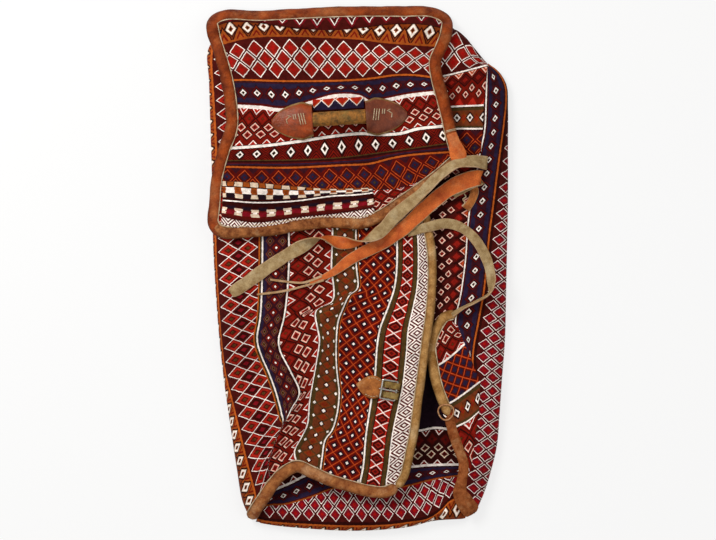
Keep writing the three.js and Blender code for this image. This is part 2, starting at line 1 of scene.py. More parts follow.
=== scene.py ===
"""Looks of a mafrash, a woven bedding bag with leather-bound seams, folded flat on the floor.

Sizes are in millimetres until a mesh is made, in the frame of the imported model: +Z up, and +Y towards
the end with the handle.
"""

import bpy
import numpy as np
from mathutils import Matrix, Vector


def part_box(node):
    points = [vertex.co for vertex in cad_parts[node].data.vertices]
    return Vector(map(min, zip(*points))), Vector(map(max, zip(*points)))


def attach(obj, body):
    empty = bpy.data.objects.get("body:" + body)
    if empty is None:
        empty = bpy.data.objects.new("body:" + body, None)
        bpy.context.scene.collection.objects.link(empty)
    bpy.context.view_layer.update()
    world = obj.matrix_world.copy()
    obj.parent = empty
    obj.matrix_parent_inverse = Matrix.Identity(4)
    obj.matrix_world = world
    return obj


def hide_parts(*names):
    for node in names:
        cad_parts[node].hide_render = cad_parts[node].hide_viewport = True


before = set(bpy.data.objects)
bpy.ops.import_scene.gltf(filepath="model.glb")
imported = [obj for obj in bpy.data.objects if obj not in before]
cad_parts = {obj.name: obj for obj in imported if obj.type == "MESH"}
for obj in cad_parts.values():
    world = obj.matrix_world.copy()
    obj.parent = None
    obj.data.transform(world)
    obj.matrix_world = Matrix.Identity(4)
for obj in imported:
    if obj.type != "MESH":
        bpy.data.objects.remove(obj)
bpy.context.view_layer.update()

# Scale of the plan: its lines are picked on the photograph, whose pixels are 2 mm on the bag
MM = 0.001
METRE = 1000.0
PIXEL = 2.0
MIDDLE = (357.5, 267.0)

# Camera straight above the bag, for a picture of 716 x 540 pixels
PICTURE = (716, 540)
CAMERA_HEIGHT = 5045.0
BAG_MIDDLE_HEIGHT = 45.0
SENSOR = 36.0

# Cloth and the way it rises from its folds
CLOTH = 3.2
SOLID_CLOTH = 4.0
GAP = 0.3
EDGE_LEVEL = 5.0
HEM_LEVEL = 2.0
LOWER_LEVEL = 6.3
RIGHT_LEVEL = 36.3
LEFT_LEVEL = 47.9
END_LEVEL = 59.5
EDGE_ROUND = 45.0
END_RISE = 80.0
END_ROUND = 60.0
END_OVERHANG = 14.0
LOWER_RISE = 20.0
LOWER_FALL = 75.0
LOWER_SWELL = 22.0
WAVE = 2.5
WAVE_LENGTH = 210.0
WAVE_LEAN = (0.35, 0.2)
WAVE_SPREAD = 1.3
CALM_REACH = (1.0, 1.5)
CREASE = 6.0
CREASE_REACH = 16.0

# Rolled leather bindings and flat straps
BINDING_WIDTH = 26.0
BINDING_THICK = 11.0
STRAP_WIDTH = 26.0
THIN_STRAP_WIDTH = 20.0
STRAP_THICK = 3.0
TAIL_WIDTH = 4.4
THONG_RING = 34.0
THONG_THICK = 3.0

# Handle
HANDLE_PLACE = (-36.1, 295.3)
HANDLE_LEAN = 3.5
GRIP_LENGTH = 106.0
GRIP_DIAMETER = 30.0
GRIP_ARCH = 5.0
FINGER_GAP = 8.0
PAD_LENGTH = 82.0
PAD_WIDTH = 74.0
PAD_EDGE = 5.0
PAD_HEEL = 60.0
PAD_WELT = 0.2

# Buckle
BUCKLE_PLACE = (77.06, -248.12)
BUCKLE_TURN = -10.0
TAB_LENGTH = 81.0
TAB_WIDTH = 44.0
TAB_THICK = 3.0
FRAME_LENGTH = 34.0
FRAME_WIDTH = 42.0
FRAME_BAR = 4.0
BAR_HEIGHT = 6.128
PRONG_DIAMETER = 3.4

# Folds, seams and rims in picture pixels
LEFT_SIDE_FOLD = [
    (249.5, 520), (242, 502), (236.5, 470), (230.5, 430), (224, 385), (218.5, 335), (214.5, 280),
    (212.5, 240), (211.5, 180), (210, 130), (208.5, 80), (207.5, 48), (219, 33),
]
LEFT_TOP_FOLD = [(219, 33), (260, 30), (330, 29), (405, 29)]
LEFT_RIM = [
    (397, 487), (404, 476), (409, 455), (414, 430), (418, 400), (422, 370), (426, 340), (430, 310),
    (432, 280), (431, 250), (427, 225), (420, 190), (413, 150), (408, 100), (405, 50), (405, 29),
]
LOWER_LEFT_SEAM = [
    (249.5, 520), (257, 507), (264, 497), (272, 485), (283, 473), (297, 466), (312, 472), (330, 480),
    (350, 486), (370, 491), (385, 492), (397, 487),
]
UPPER_SEAM = [
    (213.5, 224), (215, 205), (217, 180), (224, 152), (232, 128), (231, 102), (226, 74), (219, 50),
    (213, 31), (213, 20.5), (224, 14.5), (260, 15), (300, 13), (350, 11), (400, 11), (434, 12),
    (446, 19.5), (446.5, 32), (441, 48), (435, 62), (437, 80), (442, 98), (447, 118), (452, 140),
    (458, 158),
]
UPPER_BASE_SEAM = UPPER_SEAM[9:17]
UPPER_RIM = [
    (213.5, 224), (224, 232), (245, 232), (270, 230), (300, 225), (335, 222), (362, 223), (382, 215),
    (400, 203), (420, 189), (440, 174), (458, 158),
]
RIGHT_SIDE_FOLD = [
    (475, 515), (483.5, 497), (491.5, 472), (497.5, 446), (500, 415), (502.5, 380), (505.5, 340),
    (506.5, 300), (507.5, 250), (508.5, 200), (508.5, 150), (508.5, 108), (507, 84), (499, 70),
    (487, 61.5), (475, 47), (465, 35), (455, 28),
]
RIGHT_TOP_FOLD = [(455, 28), (403, 44)]
RIGHT_RIM = [(403.5, 65), (405, 100), (407, 150), (409, 200), (412, 250), (416, 298)]
LOWER_RIGHT_SEAM = [
    (457, 314), (445, 317), (436, 330), (431, 346), (433, 364), (437, 384), (443, 401), (449, 415),
    (453, 432), (459, 449), (464, 465), (462, 480), (460, 492), (466, 504), (475, 515),
]
LOWER_FOLD = [
    (255, 523.5), (277, 527), (310, 530), (350, 532), (388, 530.5), (412, 527.5), (434, 522), (466, 520),
]
LOWER_RIM = [(237, 346), (300, 343), (350, 341), (400, 340), (440, 341), (487, 344)]
BASE_INSET = 1.5
BASE_LEFT = [*[(x + BASE_INSET, y) for x, y in LEFT_SIDE_FOLD[:-1]], UPPER_SEAM[9]]
BASE_RIGHT = [*[(x - BASE_INSET, y) for x, y in RIGHT_SIDE_FOLD[:-1]], UPPER_SEAM[16]]
LEFT_SLIP = [(365, 293), (330, 311), (303, 332), (270, 345), (225, 360)]
LEFT_PLEAT = [(300, 394), (284, 422), (272, 451), (267, 472)]
UPPER_MITRE = [(487, 68), (485, 112), (482, 150)]
LOWER_MITRE = [(457, 319), (472, 358), (479, 381), (476, 412), (478, 474)]

# Lines and heights


def plan(pixels):
    """Places on the bag, in millimetres, from places in the picture."""
    spots = np.array(pixels, float)
    return np.stack([(spots[:, 0] - MIDDLE[0]) * PIXEL, (MIDDLE[1] - spots[:, 1]) * PIXEL], 1)


# Points of a smooth line between two of its spots
LINE_STEPS = 24


def smooth_line(spots):
    """Points along a centripetal Catmull-Rom line, with the share of the spots passed at each point."""
    spots = np.asarray(spots, float)
    ends = np.vstack([2 * spots[0] - spots[1], spots, 2 * spots[-1] - spots[-2]])
    points = []
    for place in range(len(spots) - 1):
        a, b, c, d = ends[place:place + 4]
        knots = np.cumsum([0] + [np.linalg.norm(q - p) ** 0.5 + 1e-9 for p, q in ((a, b), (b, c), (c, d))])
        t = np.linspace(knots[1], knots[2], LINE_STEPS, endpoint=False)[:, None]

        def mix(p, q, i, j):
            return ((knots[j] - t) * p + (t - knots[i]) * q) / (knots[j] - knots[i])

        ab, bc, cd = mix(a, b, 0, 1), mix(b, c, 1, 2), mix(c, d, 2, 3)
        points.append(mix(mix(ab, bc, 0, 2), mix(bc, cd, 1, 3), 1, 2))
    points = np.vstack(points + [spots[-1:]])
    return points, np.arange(len(points)) / LINE_STEPS


def length_along(points):
    """Length passed at each point of a line."""
    steps = np.linalg.norm(np.diff(points, axis=0), axis=-1)
    return np.concatenate([[0], np.cumsum(steps)])


def evenly(spots, count):
    """Evenly spaced points along a smooth line, with the share of the spots passed at each point."""
    points, passed = smooth_line(spots)
    lengths = length_along(points)
    wanted = np.linspace(0, lengths[-1], count)
    line = np.stack([np.interp(wanted, lengths, axis) for axis in points.T], 1)
    return line, np.interp(wanted, lengths, passed)


def distance_from(pixels):
    """A function that measures how far places lie from a line of the plan."""
    spots, _ = evenly(plan(pixels), 4 * len(pixels) + 1)

    def measure(places):
        least = np.full(places.shape[:-1], np.inf)
        for start, span in zip(spots[:-1], np.diff(spots, axis=0)):
            share = np.clip(((places - start) @ span) / (span @ span), 0, 1)
            gap = np.linalg.norm(places - start - share[..., None] * span, axis=-1)
            least = np.minimum(least, gap)
        return least

    return measure


def shoulder(distance, reach):
    """A quarter round, from 0 on an edge to 1 at its reach."""
    left = 1 - np.clip(distance / reach, 0, 1)
    return np.sqrt(1 - left * left)


def ease(value, low, high):
    """A soft step from 0 to 1 between two values."""
    share = np.clip((value - low) / (high - low), 0, 1)
    return share * share * (3 - 2 * share)


def crease(pixels, height):
    """A function that gives the rise of a soft ridge along a line of the plan."""
    measure = distance_from(pixels)

    def rise(places):
        share = np.clip(measure(places) / CREASE_REACH, 0, 1)
        return height * (1 - share * share) ** 2

    return rise


from_left_fold = distance_from(LEFT_SIDE_FOLD + LEFT_TOP_FOLD[1:])
from_right_fold = distance_from(RIGHT_SIDE_FOLD + RIGHT_TOP_FOLD[1:])
from_lower_fold = distance_from(LOWER_FOLD)
from_upper_base = distance_from(UPPER_BASE_SEAM)
left_slip = crease(LEFT_SLIP, CREASE)
left_pleat = crease(LEFT_PLEAT, CREASE)
upper_mitre = crease(UPPER_MITRE, CREASE / 2)
lower_mitre = crease(LOWER_MITRE, CREASE / 2)


def calm(places, centre, half_width, half_length):
    """0 under a sewn-on fitting, where the cloth lies still, and 1 away from it."""
    away = np.abs(places - np.array(centre)) / (half_width, half_length)
    return ease(away.max(-1), *CALM_REACH)


def wave(places):
    """Slow swells of the loose cloth."""
    x, y = places[..., 0], places[..., 1]
    along = np.sin(2 * np.pi * (y + WAVE_LEAN[0] * x) / WAVE_LENGTH)
    across = np.sin(2 * np.pi * (x - WAVE_LEAN[1] * y) / (WAVE_SPREAD * WAVE_LENGTH))
    at_handle = calm(places, HANDLE_PLACE, GRIP_LENGTH / 2 + PAD_LENGTH, PAD_WIDTH * 0.9)
    at_buckle = calm(places, BUCKLE_PLACE, TAB_LENGTH, TAB_WIDTH)
    return WAVE * along * across * at_handle * at_buckle


def left_height(places):
    """Middle of the left wall's cloth, with its slipped fold and its pleat."""
    rise = shoulder(from_left_fold(places), EDGE_ROUND)
    level = LEFT_LEVEL - EDGE_LEVEL + wave(places)
    return EDGE_LEVEL + rise * (level + left_slip(places) + left_pleat(places))


def right_height(places):
    """Middle of the right wall's cloth, with its two mitres."""
    rise = shoulder(from_right_fold(places), EDGE_ROUND)
    level = RIGHT_LEVEL - EDGE_LEVEL + wave(places)
    return EDGE_LEVEL + rise * (level + upper_mitre(places) + lower_mitre(places))


def end_height(places):
    """Middle of the upper end panel's cloth, which rises from its seam and lies over both walls."""
    rise = shoulder(from_upper_base(places), END_RISE)
    rise = rise * shoulder(from_left_fold(places) + END_OVERHANG, END_ROUND)
    return LOWER_LEVEL + rise * (END_LEVEL - LOWER_LEVEL + wave(places))


def lower_height(places):
    """Middle of the lower end panel's cloth, which swells at its fold and then lies flat."""
    distance = from_lower_fold(places)
    corner = np.minimum(from_left_fold(places), from_right_fold(places)) - LOWER_RISE
    swell = LOWER_SWELL * shoulder(np.maximum(corner, 0), EDGE_ROUND)
    fall = 1 - ease(distance, LOWER_RISE, LOWER_RISE + LOWER_FALL)
    return LOWER_LEVEL + swell * shoulder(distance, LOWER_RISE) * fall


def base_height(places):
    """Middle of the base, flat on the floor."""
    return np.full(places.shape[:-1], SOLID_CLOTH / 2)


# Materials


def linear(hue):
    """A linear colour from an sRGB hex value."""
    parts = [int(hue[i:i + 2], 16) / 255 for i in (1, 3, 5)]
    return [p / 12.92 if p <= 0.04045 else ((p + 0.055) / 1.055) ** 2.4 for p in parts] + [1.0]


def node(tree, kind, *inputs, **settings):
    """Adds a node: inputs in order, then settings, whose capitalised names are sockets."""
    made = tree.nodes.new("ShaderNode" + kind)
    plugs = []
    for setting, value in settings.items():
        if setting[0].isupper():
            plugs.append((setting.replace("_", " "), value))
        else:
            setattr(made, setting, value)
    plugs = list(zip(range(len(inputs)), inputs)) + plugs
    for socket, value in plugs:
        if isinstance(value, bpy.types.NodeSocket):
            tree.links.new(value, made.inputs[socket])
        elif value is not None:
            made.inputs[socket].default_value = value
    return made.outputs[0]


def surface(name, paint, depth, **looks):
    """A material from a painter, which returns its colour, its roughness and the height of its relief."""
    material = bpy.data.materials.new(name)
    material.use_nodes = True
    tree = material.node_tree
    shader = tree.nodes["Principled BSDF"]
    colour, roughness, height = paint(tree)
    relief = node(tree, "Bump", Strength=1.0, Distance=depth * MM, Height=height)
    tree.links.new(colour, shader.inputs["Base Color"])
    tree.links.new(relief, shader.inputs["Normal"])
    looks["Roughness"] = roughness
    for socket, value in looks.items():
        if isinstance(value, bpy.types.NodeSocket):
            tree.links.new(value, shader.inputs[socket])
        else:
            shader.inputs[socket.replace("_", " ")].default_value = value
    return material


# Dyes of the wool
DYES = {
    "maroon": "#4A110D", "wine": "#5A0F09", "red": "#8E1C12", "deep": "#741408", "crimson": "#7E101C",
    "scarlet": "#B02416", "orange": "#BE5A1E", "rust": "#803610", "ember": "#9E4A18", "cream": "#FFF0E4",
    "pink": "#F6C0AA", "navy": "#291E36", "plum": "#3A131B", "olive": "#4E3A1A", "brown": "#70341A",
    "black": "#1C0906", "gold": "#8A5F2C", "dark": "#310B08", "moss": "#4B361A", "night": "#20101A",
    "sand": "#E2C8AC", "blood": "#A4120C", "flame": "#C24A1C",
}

# Yarn pitch: the real one is 1 mm, drawn 2.4 mm wide so that it shows
YARN = 2.4
# Counts to a metre: spots of uneven dye are 9 mm, dye lots 90 mm, tufts of nap 2.4 mm, slips 13 mm
DYE_SPOTS = 110.0
DYE_LOTS = 11.0
TUFTS = 420.0
SLIPS = 75.0
# How far lines of the pattern slip along the band, and the share of that across it
SLIP = 3.2
SLIP_ACROSS = 0.75
WOOL_RELIEF = 0.9
# Ranges of the noise and of what it becomes: the shade of dye spots and of dye lots
SPOT_SHADE = (0.3, 0.7, 0.62, 1.3)
LOT_SHADE = (0.3, 0.7, 0.82, 1.14)
# The nap's share of the relief, and how it roughens the wool
NAP_RELIEF = 0.35
NAP_ROUGHNESS = (0.2, 0.78)
SHEEN = {"Sheen_Weight": 0.012, "Sheen_Roughness": 0.5, "Specular_IOR_Level": 0.04}


def woven(tree, colour, across, along):
    """Colour, roughness and relief of warp-faced wool: ribs of yarn, uneven dye and a soft, dull nap."""
    object_place = node(tree, "TexCoord").node.outputs["Object"]
    dye = node(tree, "TexNoise", object_place, Scale=DYE_SPOTS, Detail=4.0, Roughness=0.7)
    lot = node(tree, "TexNoise", object_place, Scale=DYE_LOTS, Detail=3.0)
    shade = node(tree, "MapRange", dye, *SPOT_SHADE)
    wear = node(tree, "MapRange", lot, *LOT_SHADE)
    shade = node(tree, "Math", shade, wear, operation="MULTIPLY")
    colour = node(tree, "MixRGB", 1.0, colour, shade, blend_type="MULTIPLY")
    rib = node(tree, "Math", across, 0.5, operation="PINGPONG")
    beat = node(tree, "Math", along, 0.5, operation="PINGPONG")
    yarn = node(tree, "Math", rib, beat, operation="MULTIPLY")
    fuzz = node(tree, "TexNoise", object_place, Scale=TUFTS, Detail=2.0)
    height = node(tree, "Math", fuzz, NAP_RELIEF, yarn, operation="MULTIPLY_ADD")
    roughness = node(tree, "Math", fuzz, *NAP_ROUGHNESS, operation="MULTIPLY_ADD")
    return colour, roughness, height


def band(name, ground, repeat, width, marks, slip=SLIP):
    """Patterned wool: marks are woven over the ground in order.

    A mark is a dye, its place and half size along in repeats, its place and half size across in band
    widths, the span of its outline and its form: a diamond, a block, a chain of rings or a net.
    """

    def paint(tree):
        spot = node(tree, "UVMap", uv_map="band")
        place = node(tree, "TexCoord").node.outputs["Object"]
        wobble = node(tree, "TexNoise", place, Scale=SLIPS, Detail=2.0)
        wobble = node(tree, "Math", wobble, 0.5, operation="SUBTRACT")
        sides = node(tree, "SeparateXYZ", spot).node.outputs
        along = node(tree, "Math", sides[0], METRE / repeat, operation="MULTIPLY")
        along = node(tree, "Math", wobble, slip / repeat, along, operation="MULTIPLY_ADD")
        slip_across = min(slip, SLIP) * SLIP_ACROSS
        across = node(tree, "Math", wobble, slip_across / width, sides[1], operation="MULTIPLY_ADD")
        colour = linear(DYES[ground])
        for dye, (start, half_along), (middle, half_across), (inner, outer), form in marks:
            far_along = node(tree, "Math", along, start, operation="SUBTRACT")
            far_along = node(tree, "Math", far_along, 0.5, operation="PINGPONG")
            far_along = node(tree, "Math", far_along, half_along, operation="DIVIDE")
            far_across = node(tree, "Math", across, middle, operation="SUBTRACT")
            if form == "net":
                far_across = node(tree, "Math", far_across, half_across, operation="PINGPONG")
            far_across = node(tree, "Math", far_across, operation="ABSOLUTE")
            far_across = node(tree, "Math", far_across, half_across, operation="DIVIDE")
            joined = "MAXIMUM" if form == "block" else "ADD"
            far = node(tree, "Math", far_along, far_across, operation=joined)
            if form == "rings":
                far = node(tree, "Math", far, 0.5, 0.0, operation="WRAP")
            mask = node(tree, "Math", far, (inner + outer) / 2, (outer - inner) / 2, operation="COMPARE")
            colour = node(tree, "MixRGB", mask, colour, linear(DYES[dye]))
        ribs = node(tree, "Math", sides[1], width / YARN, operation="MULTIPLY")
        beats = node(tree, "Math", sides[0], METRE / YARN, operation="MULTIPLY")
        return woven(tree, colour, ribs, beats)

    return surface("wool_" + name, paint, WOOL_RELIEF, **SHEEN)


def stripe(dye):
    """Plain wool of one dye, for the narrow stripes between the patterned bands."""

    def paint(tree):
        spot = node(tree, "UVMap", uv_map="band")
        sides = node(tree, "SeparateXYZ", spot).node.outputs
        ribs = node(tree, "Math", sides[1], 2.0, operation="MULTIPLY")
        beats = node(tree, "Math", sides[0], METRE / YARN, operation="MULTIPLY")
        return woven(tree, linear(DYES[dye]), ribs, beats)

    return surface("wool_stripe_" + dye, paint, WOOL_RELIEF, **SHEEN)


# Spans of a mark's outline: its edge is at 1, and a span from below 0 fills it
INSIDE = -0.1
FULL = (INSIDE, 1.0)
HEART = 0.32


def mark(dye, along, half_along, across, half_across, form="diamond"):
    """A whole mark of one dye."""
    return (dye, (along, half_along), (across, half_across), FULL, form)


def lane(dye, low, high):
    """A stripe along the band, between two shares of its width."""
    return mark(dye, 0, 9, (low + high) / 2, (high - low) / 2, "block")


def nest(along, across, *rings, form="diamond"):
    """Marks one in another, in one row of the band or more.

    A ring is a dye alone for a whole mark, with one share for its inside, or with two for an outline.
    """
    made = []
    middles, half_across = across
    for dye, *span in rings:
        span = FULL if not span else (INSIDE, *span)[-2:]
        for middle in np.atleast_1d(middles).tolist():
            made.append((dye, along, (middle, half_across), span, form))
    return made


def lozenges(size, fill, line, heart, ring, *places):
    """Filled diamonds with an outline and a heart, each at its place along and across the band."""
    made = []
    for along, across in places:
        made += nest((along, size[0]), (across, size[1]), (fill, ring), (line, ring, 1.0), (heart, HEART))
    return made


def cells(size, *rings):
    """Cells of a net, filled alike in both of its rows."""
    made = []
    for ring in rings:
        made += nest((0, 0.5), (0.0, size), ring, form="net")
        made += nest((0.5, 0.5), (size, size), ring, form="net")
    return made


# Patterns: the ground, the repeat and the width in millimetres, the marks, and the slip if it isn't SLIP
PATTERNS = {}

# Large net of white lines with red lozenges, along the left wall
PATTERNS["net"] = ("maroon", 27.2, 82, [
    *nest((0, 0.5), (0.5, 0.25), ("wine", 0.9), ("dark", 0.4, 0.68), ("crimson", 0.3)),
    *nest((0.5, 0.5), ((0.26, 0.74), 0.24), ("red", 0.92), ("scarlet", 0.54, 0.7), ("dark", 0.26, 0.38),
          ("olive", 0.22), ("cream", 0.93, 1.05)),
])

# Three rows of red lozenges, each with its own white outline
LOZENGE = (0.45, 0.212)
LOZENGE_PLACES = ((0.0, 0.26), (0.0, 0.75), (0.5, 0.505))
PATTERNS["lozenges"] = (
    "maroon", 35, 80, lozenges(LOZENGE, "red", "cream", "blood", 0.86, *LOZENGE_PLACES),
)

# The same lozenges, smaller, counted from the orange line of a side or of the lower end
EDGE_LOZENGE = (0.43, 0.196)
EDGE_PLACES = ((0.0, 0.28), (0.5, 0.515), (0.0, 0.75), (0.5, 0.985))
PATTERNS["edge_lozenges"] = ("maroon", 26.4, 70, [
    lane("dark", 0.0, 0.08), *lozenges(EDGE_LOZENGE, "crimson", "cream", "blood", 0.86, *EDGE_PLACES),
])

# Dark band with white dots between gold and plum chevrons
PATTERNS["dots"] = ("plum", 26, 52, [
    lane("navy", 0.0, 0.09), lane("dark", 0.92, 1.0),
    *nest((0.5, 0.42), ((0.22, 0.78), 0.2), ("brown", 0.74, 1.0), ("navy", 0.5, 0.72), ("gold", 0.32, 0.48),
          ("dark", 0.3)),
    *nest((0, 0.36), (0.5, 0.2), ("deep", 0.5, 0.95), ("dark", 0.5)), mark("cream", 0, 0.12, 0.5, 0.062),
])

# Red band with white-outlined lozenges between two rows of half lozenges
GEM = (0.36, 0.125)
PATTERNS["gems"] = ("deep", 27, 88, [
    *nest((0.5, 0.5), (0.27, 0.22), ("dark", 1.05), ("deep", 0.84), ("red", 0.3, 0.62), ("olive", 0.13)),
    *nest((0, GEM[0]), (0.51, GEM[1]), ("dark", 0.9, 1.34)),
    *nest((0.5, GEM[0]), (0.715, GEM[1]), ("dark", 0.9, 1.34)),
    *lozenges(GEM, "red", "pink", "wine", 0.7, (0.0, 0.51), (0.5, 0.715)),
    *nest((0, 0.42), (0.0, 0.22), ("dark",), ("scarlet", 0.88), ("cream", 0.6, 0.78), ("cream", 0.16)),
    *nest((0, 0.42), (1.01, 0.18), ("dark",), ("scarlet", 0.88), ("cream", 0.6, 0.8)),
])

# The same band on the upper corner, where the cloth is drawn narrower
NARROW_GEM = (0.22, 0.115)
PATTERNS["corner_gems"] = ("deep", 27, 88, [
    *nest((0.5, 0.5), (0.24, 0.2), ("dark", 1.05), ("wine", 0.84), ("red", 0.4)),
    *nest((0.06, NARROW_GEM[0]), (0.5, NARROW_GEM[1]), ("dark", 0.9, 1.4)),
    *nest((0.62, NARROW_GEM[0]), (0.68, NARROW_GEM[1]), ("dark", 0.9, 1.4)),
    *lozenges(NARROW_GEM, "red", "pink", "wine", 0.6, (0.06, 0.5), (0.62, 0.68)),
    *nest((0, 0.4), (0.0, 0.2), ("dark",), ("flame", 0.88), ("pink", 0.6, 0.84), ("pink", 0.3)),
    mark("scarlet", 0.2, 0.34, 0.98, 0.2),
])

# The same band with its dyes darkened, as painted shade in the mouth of the bag
SHADE_DARKENED_DYES = {
    "red": "wine", "scarlet": "deep", "deep": "maroon", "wine": "dark", "pink": "sand", "olive": "dark",
}
shade_darkened_marks = [(SHADE_DARKENED_DYES.get(dye, dye), *form) for dye, *form in PATTERNS["gems"][3]]
PATTERNS["painted_shade_gems"] = ("dark", 27, 88, shade_darkened_marks)

# The same motifs set wider on a dark ground, counted from the white line of the right wall
SMALL_GEM = (0.27, 0.066)
PATTERNS["sparse_gems"] = ("dark", 26, 90, [
    mark("maroon", 0.45, 0.5, 0.24, 0.2), mark("wine", 0.42, 0.42, 0.18, 0.11),
    mark("red", 0.42, 0.28, 0.18, 0.07),
    *lozenges(SMALL_GEM, "wine", "pink", "red", 0.62, (0.74, 0.31), (0.1, 0.45)),
    *lozenges(SMALL_GEM, "dark", "pink", "wine", 0.66, (0.6, 0.6), (0.0, 0.75)),
    *nest((0, 0.44), (0.0, 0.14), ("red",), ("pink", 0.78, 0.98), ("flame", 0.3, 0.58), ("pink", 0.2)),
])

# Brown band with cream dots, mottled with green and red
PATTERNS["seeds"] = ("brown", 26, 46, [
    lane("moss", 0.0, 0.1), lane("moss", 0.92, 1.0), *nest((0.5, 0.5), (0.5, 0.4), ("moss", 0.7, 0.86)),
    *nest((0.5, 0.46), (0.5, 0.38), ("rust", 0.62)), *nest((0.5, 0.42), (0.5, 0.34), ("red", 0.2, 0.36)),
    mark("dark", 0, 0.26, 0.5, 0.16), mark("cream", 0, 0.15, 0.5, 0.085),
    *nest((0.5, 0.28), ((0.1, 0.92), 0.15), ("moss",)),
    *nest((0.5, 0.125), ((0.1, 0.92), 0.07), ("cream",)),
])

# The same brown band with larger lozenges, in the corners of the right wall
BUD = (0.25, 0.2)
PATTERNS["buds"] = ("brown", 26, 46, [
    lane("moss", 0.0, 0.14), lane("moss", 0.9, 1.0),
    *nest((0.5, 0.42), (0.5, 0.4), ("rust", 0.8), ("red", 0.2, 0.42)), mark("dark", 0, 0.36, 0.5, 0.3),
    *lozenges(BUD, "moss", "cream", "dark", 0.5, (0.0, 0.5)),
])

# Thin orange net with a white dot in each dark cell
CELL = 0.2
PATTERNS["cells"] = ("deep", 28, 78, [
    *cells(CELL, ("wine", 0.72), ("night", 0.5)),
    *nest((0, 0.5), (0.0, CELL), ("flame", 0.93, 1.07), form="net"), *cells(CELL, ("cream", 0.22)),
])

# Red band with white crosses between dark lozenges
PATTERNS["crosses"] = ("scarlet", 26.6, 38, [
    *nest((0.5, 0.4), (0.5, 0.38), ("dark",), ("red", 0.6), ("wine", 0.3)),
    *nest((0.0, 0.5), (0.0, 0.5), ("cream", 0.92, 1.08), form="net"),
    *nest((0.5, 0.17), ((0.08, 0.92), 0.14), ("scarlet",), form="block"),
    lane("dark", 0.1, 0.16), lane("dark", 0.86, 0.91), lane("moss", 0.0, 0.11), lane("moss", 0.9, 1.0),
])

# Fine nested lozenges beside the rim
NESTED_MARKS = nest((0, 0.5), (0.46, 0.5), ("cream", 0.0, 0.24), form="rings")
PATTERNS["nested"] = ("wine", 26.6, 28, NESTED_MARKS, 0.4)

# Navy and plum band with small white lozenges
PATTERNS["stars"] = ("plum", 28, 52, [
    lane("navy", 0.06, 0.26), lane("navy", 0.72, 0.94), lane("maroon", 0.94, 1.0),
    *nest((0, 0.48), (0.5, 0.36), ("night",), ("wine", 0.66, 0.9)),
    *nest((0, 0.24), (0.5, 0.15), ("cream",), ("olive", 0.5), ("black", 0.3)),
])


def rust_marks(middle):
    """Marks of the rust band, whose cream lozenges lie at a share of its width from its orange line."""
    return [
        *nest((0.5, 0.5), (0.0, 0.9), ("ember",), ("dark", 0.84, 1.0), ("deep", 0.3, 0.52)),
        *nest((0, 0.46), (middle, 0.52), ("dark",), ("brown", 0.66, 0.8)),
        mark("black", 0, 0.36, middle, 0.4),
        *nest((0, 0.33), (middle, 0.4), ("sand",), ("cream", 0.5, 0.86), ("rust", 0.42), ("black", 0.2)),
    ]


PATTERNS["rust"] = ("rust", 27.4, 30, rust_marks(0.48))
PATTERNS["top_rust"] = ("rust", 33, 30, rust_marks(0.66))

# Dark red band with white lozenges and red triangles
PATTERNS["eyes"] = ("wine", 34, 26, [
    *nest((0.5, 0.46), ((0.0, 1.0), 0.52), ("deep", 0.2, 1.0), ("dark", 0.76, 0.9), ("dark", 0.4, 0.56)),
    mark("dark", 0, 0.34, 0.5, 0.56),
    *nest((0, 0.23), (0.5, 0.34), ("cream",), ("moss", 0.52), ("black", 0.34)),
])

# Orange double net over navy lozenges
NET_LOZENGE = (0.43, 0.3)
PATTERNS["trellis"] = ("wine", 34.5, 44, [
    mark("plum", 0, 0.34, 0.0, 0.24),
    *lozenges(NET_LOZENGE, "maroon", "flame", "navy", 0.87, (0.5, 0.37), (0.0, 0.72)),
    *nest((0.5, 0.43), (0.37, 0.3), ("navy", 0.52), ("wine", 0.16)),
    *nest((0, 0.43), (0.72, 0.3), ("navy", 0.52), ("moss", 0.18)),
    *lozenges(NET_LOZENGE, "maroon", "flame", "navy", 0.87, (0.5, 1.06)),
])

# The same net at half the size, in the lower corner
FINE_CELL = 0.16
PATTERNS["fine_trellis"] = ("deep", 24, 80, [
    *cells(FINE_CELL, ("maroon", 0.78), ("navy", 0.52)),
    *nest((0, 0.5), (0.0, FINE_CELL), ("flame", 0.91, 1.09), form="net"),
])

# Tie-dyed checks of the patch on the upper end, whose edges bleed along the yarn
PATTERNS["checks"] = ("dark", 31.5, 40, [
    lane("brown", 0.0, 0.04),
    mark("sand", 0, 0.24, 0.15, 0.12, "block"), mark("ember", 0.5, 0.2, 0.15, 0.11, "block"),
    mark("cream", 0.5, 0.32, 0.485, 0.155, "block"), mark("ember", 0, 0.2, 0.485, 0.165, "block"),
    mark("rust", 0, 0.1, 0.485, 0.1, "block"), mark("sand", 0, 0.22, 0.78, 0.11, "block"),
    mark("night", 0.5, 0.24, 0.78, 0.12, "block"),
], 9)

# Dashes below the checks, tie-dyed with them
PATTERNS["dashes"] = ("wine", 33, 36, [
    lane("dark", 0.0, 0.3), mark("night", 0.5, 0.3, 0.3, 0.1, "block"),
    mark("crimson", 0.5, 0.3, 0.6, 0.12, "block"), lane("maroon", 0.84, 1.0),
    mark("sand", 0, 0.25, 0.42, 0.085, "block"), mark("cream", 0, 0.13, 0.53, 0.07, "block"),
    mark("sand", 0, 0.24, 0.65, 0.085, "block"),
], 12)

# Crimson band with white notches along the upper seam
PATTERNS["notches"] = ("maroon", 35, 18, [
    mark("crimson", 0, 0.5, 0.3, 0.6), mark("maroon", 0, 0.34, 0.3, 0.5),
    *nest((0, 0.3), (0.3, 0.46), ("cream", 0.8, 1.0), ("cream", 0.24)),
])

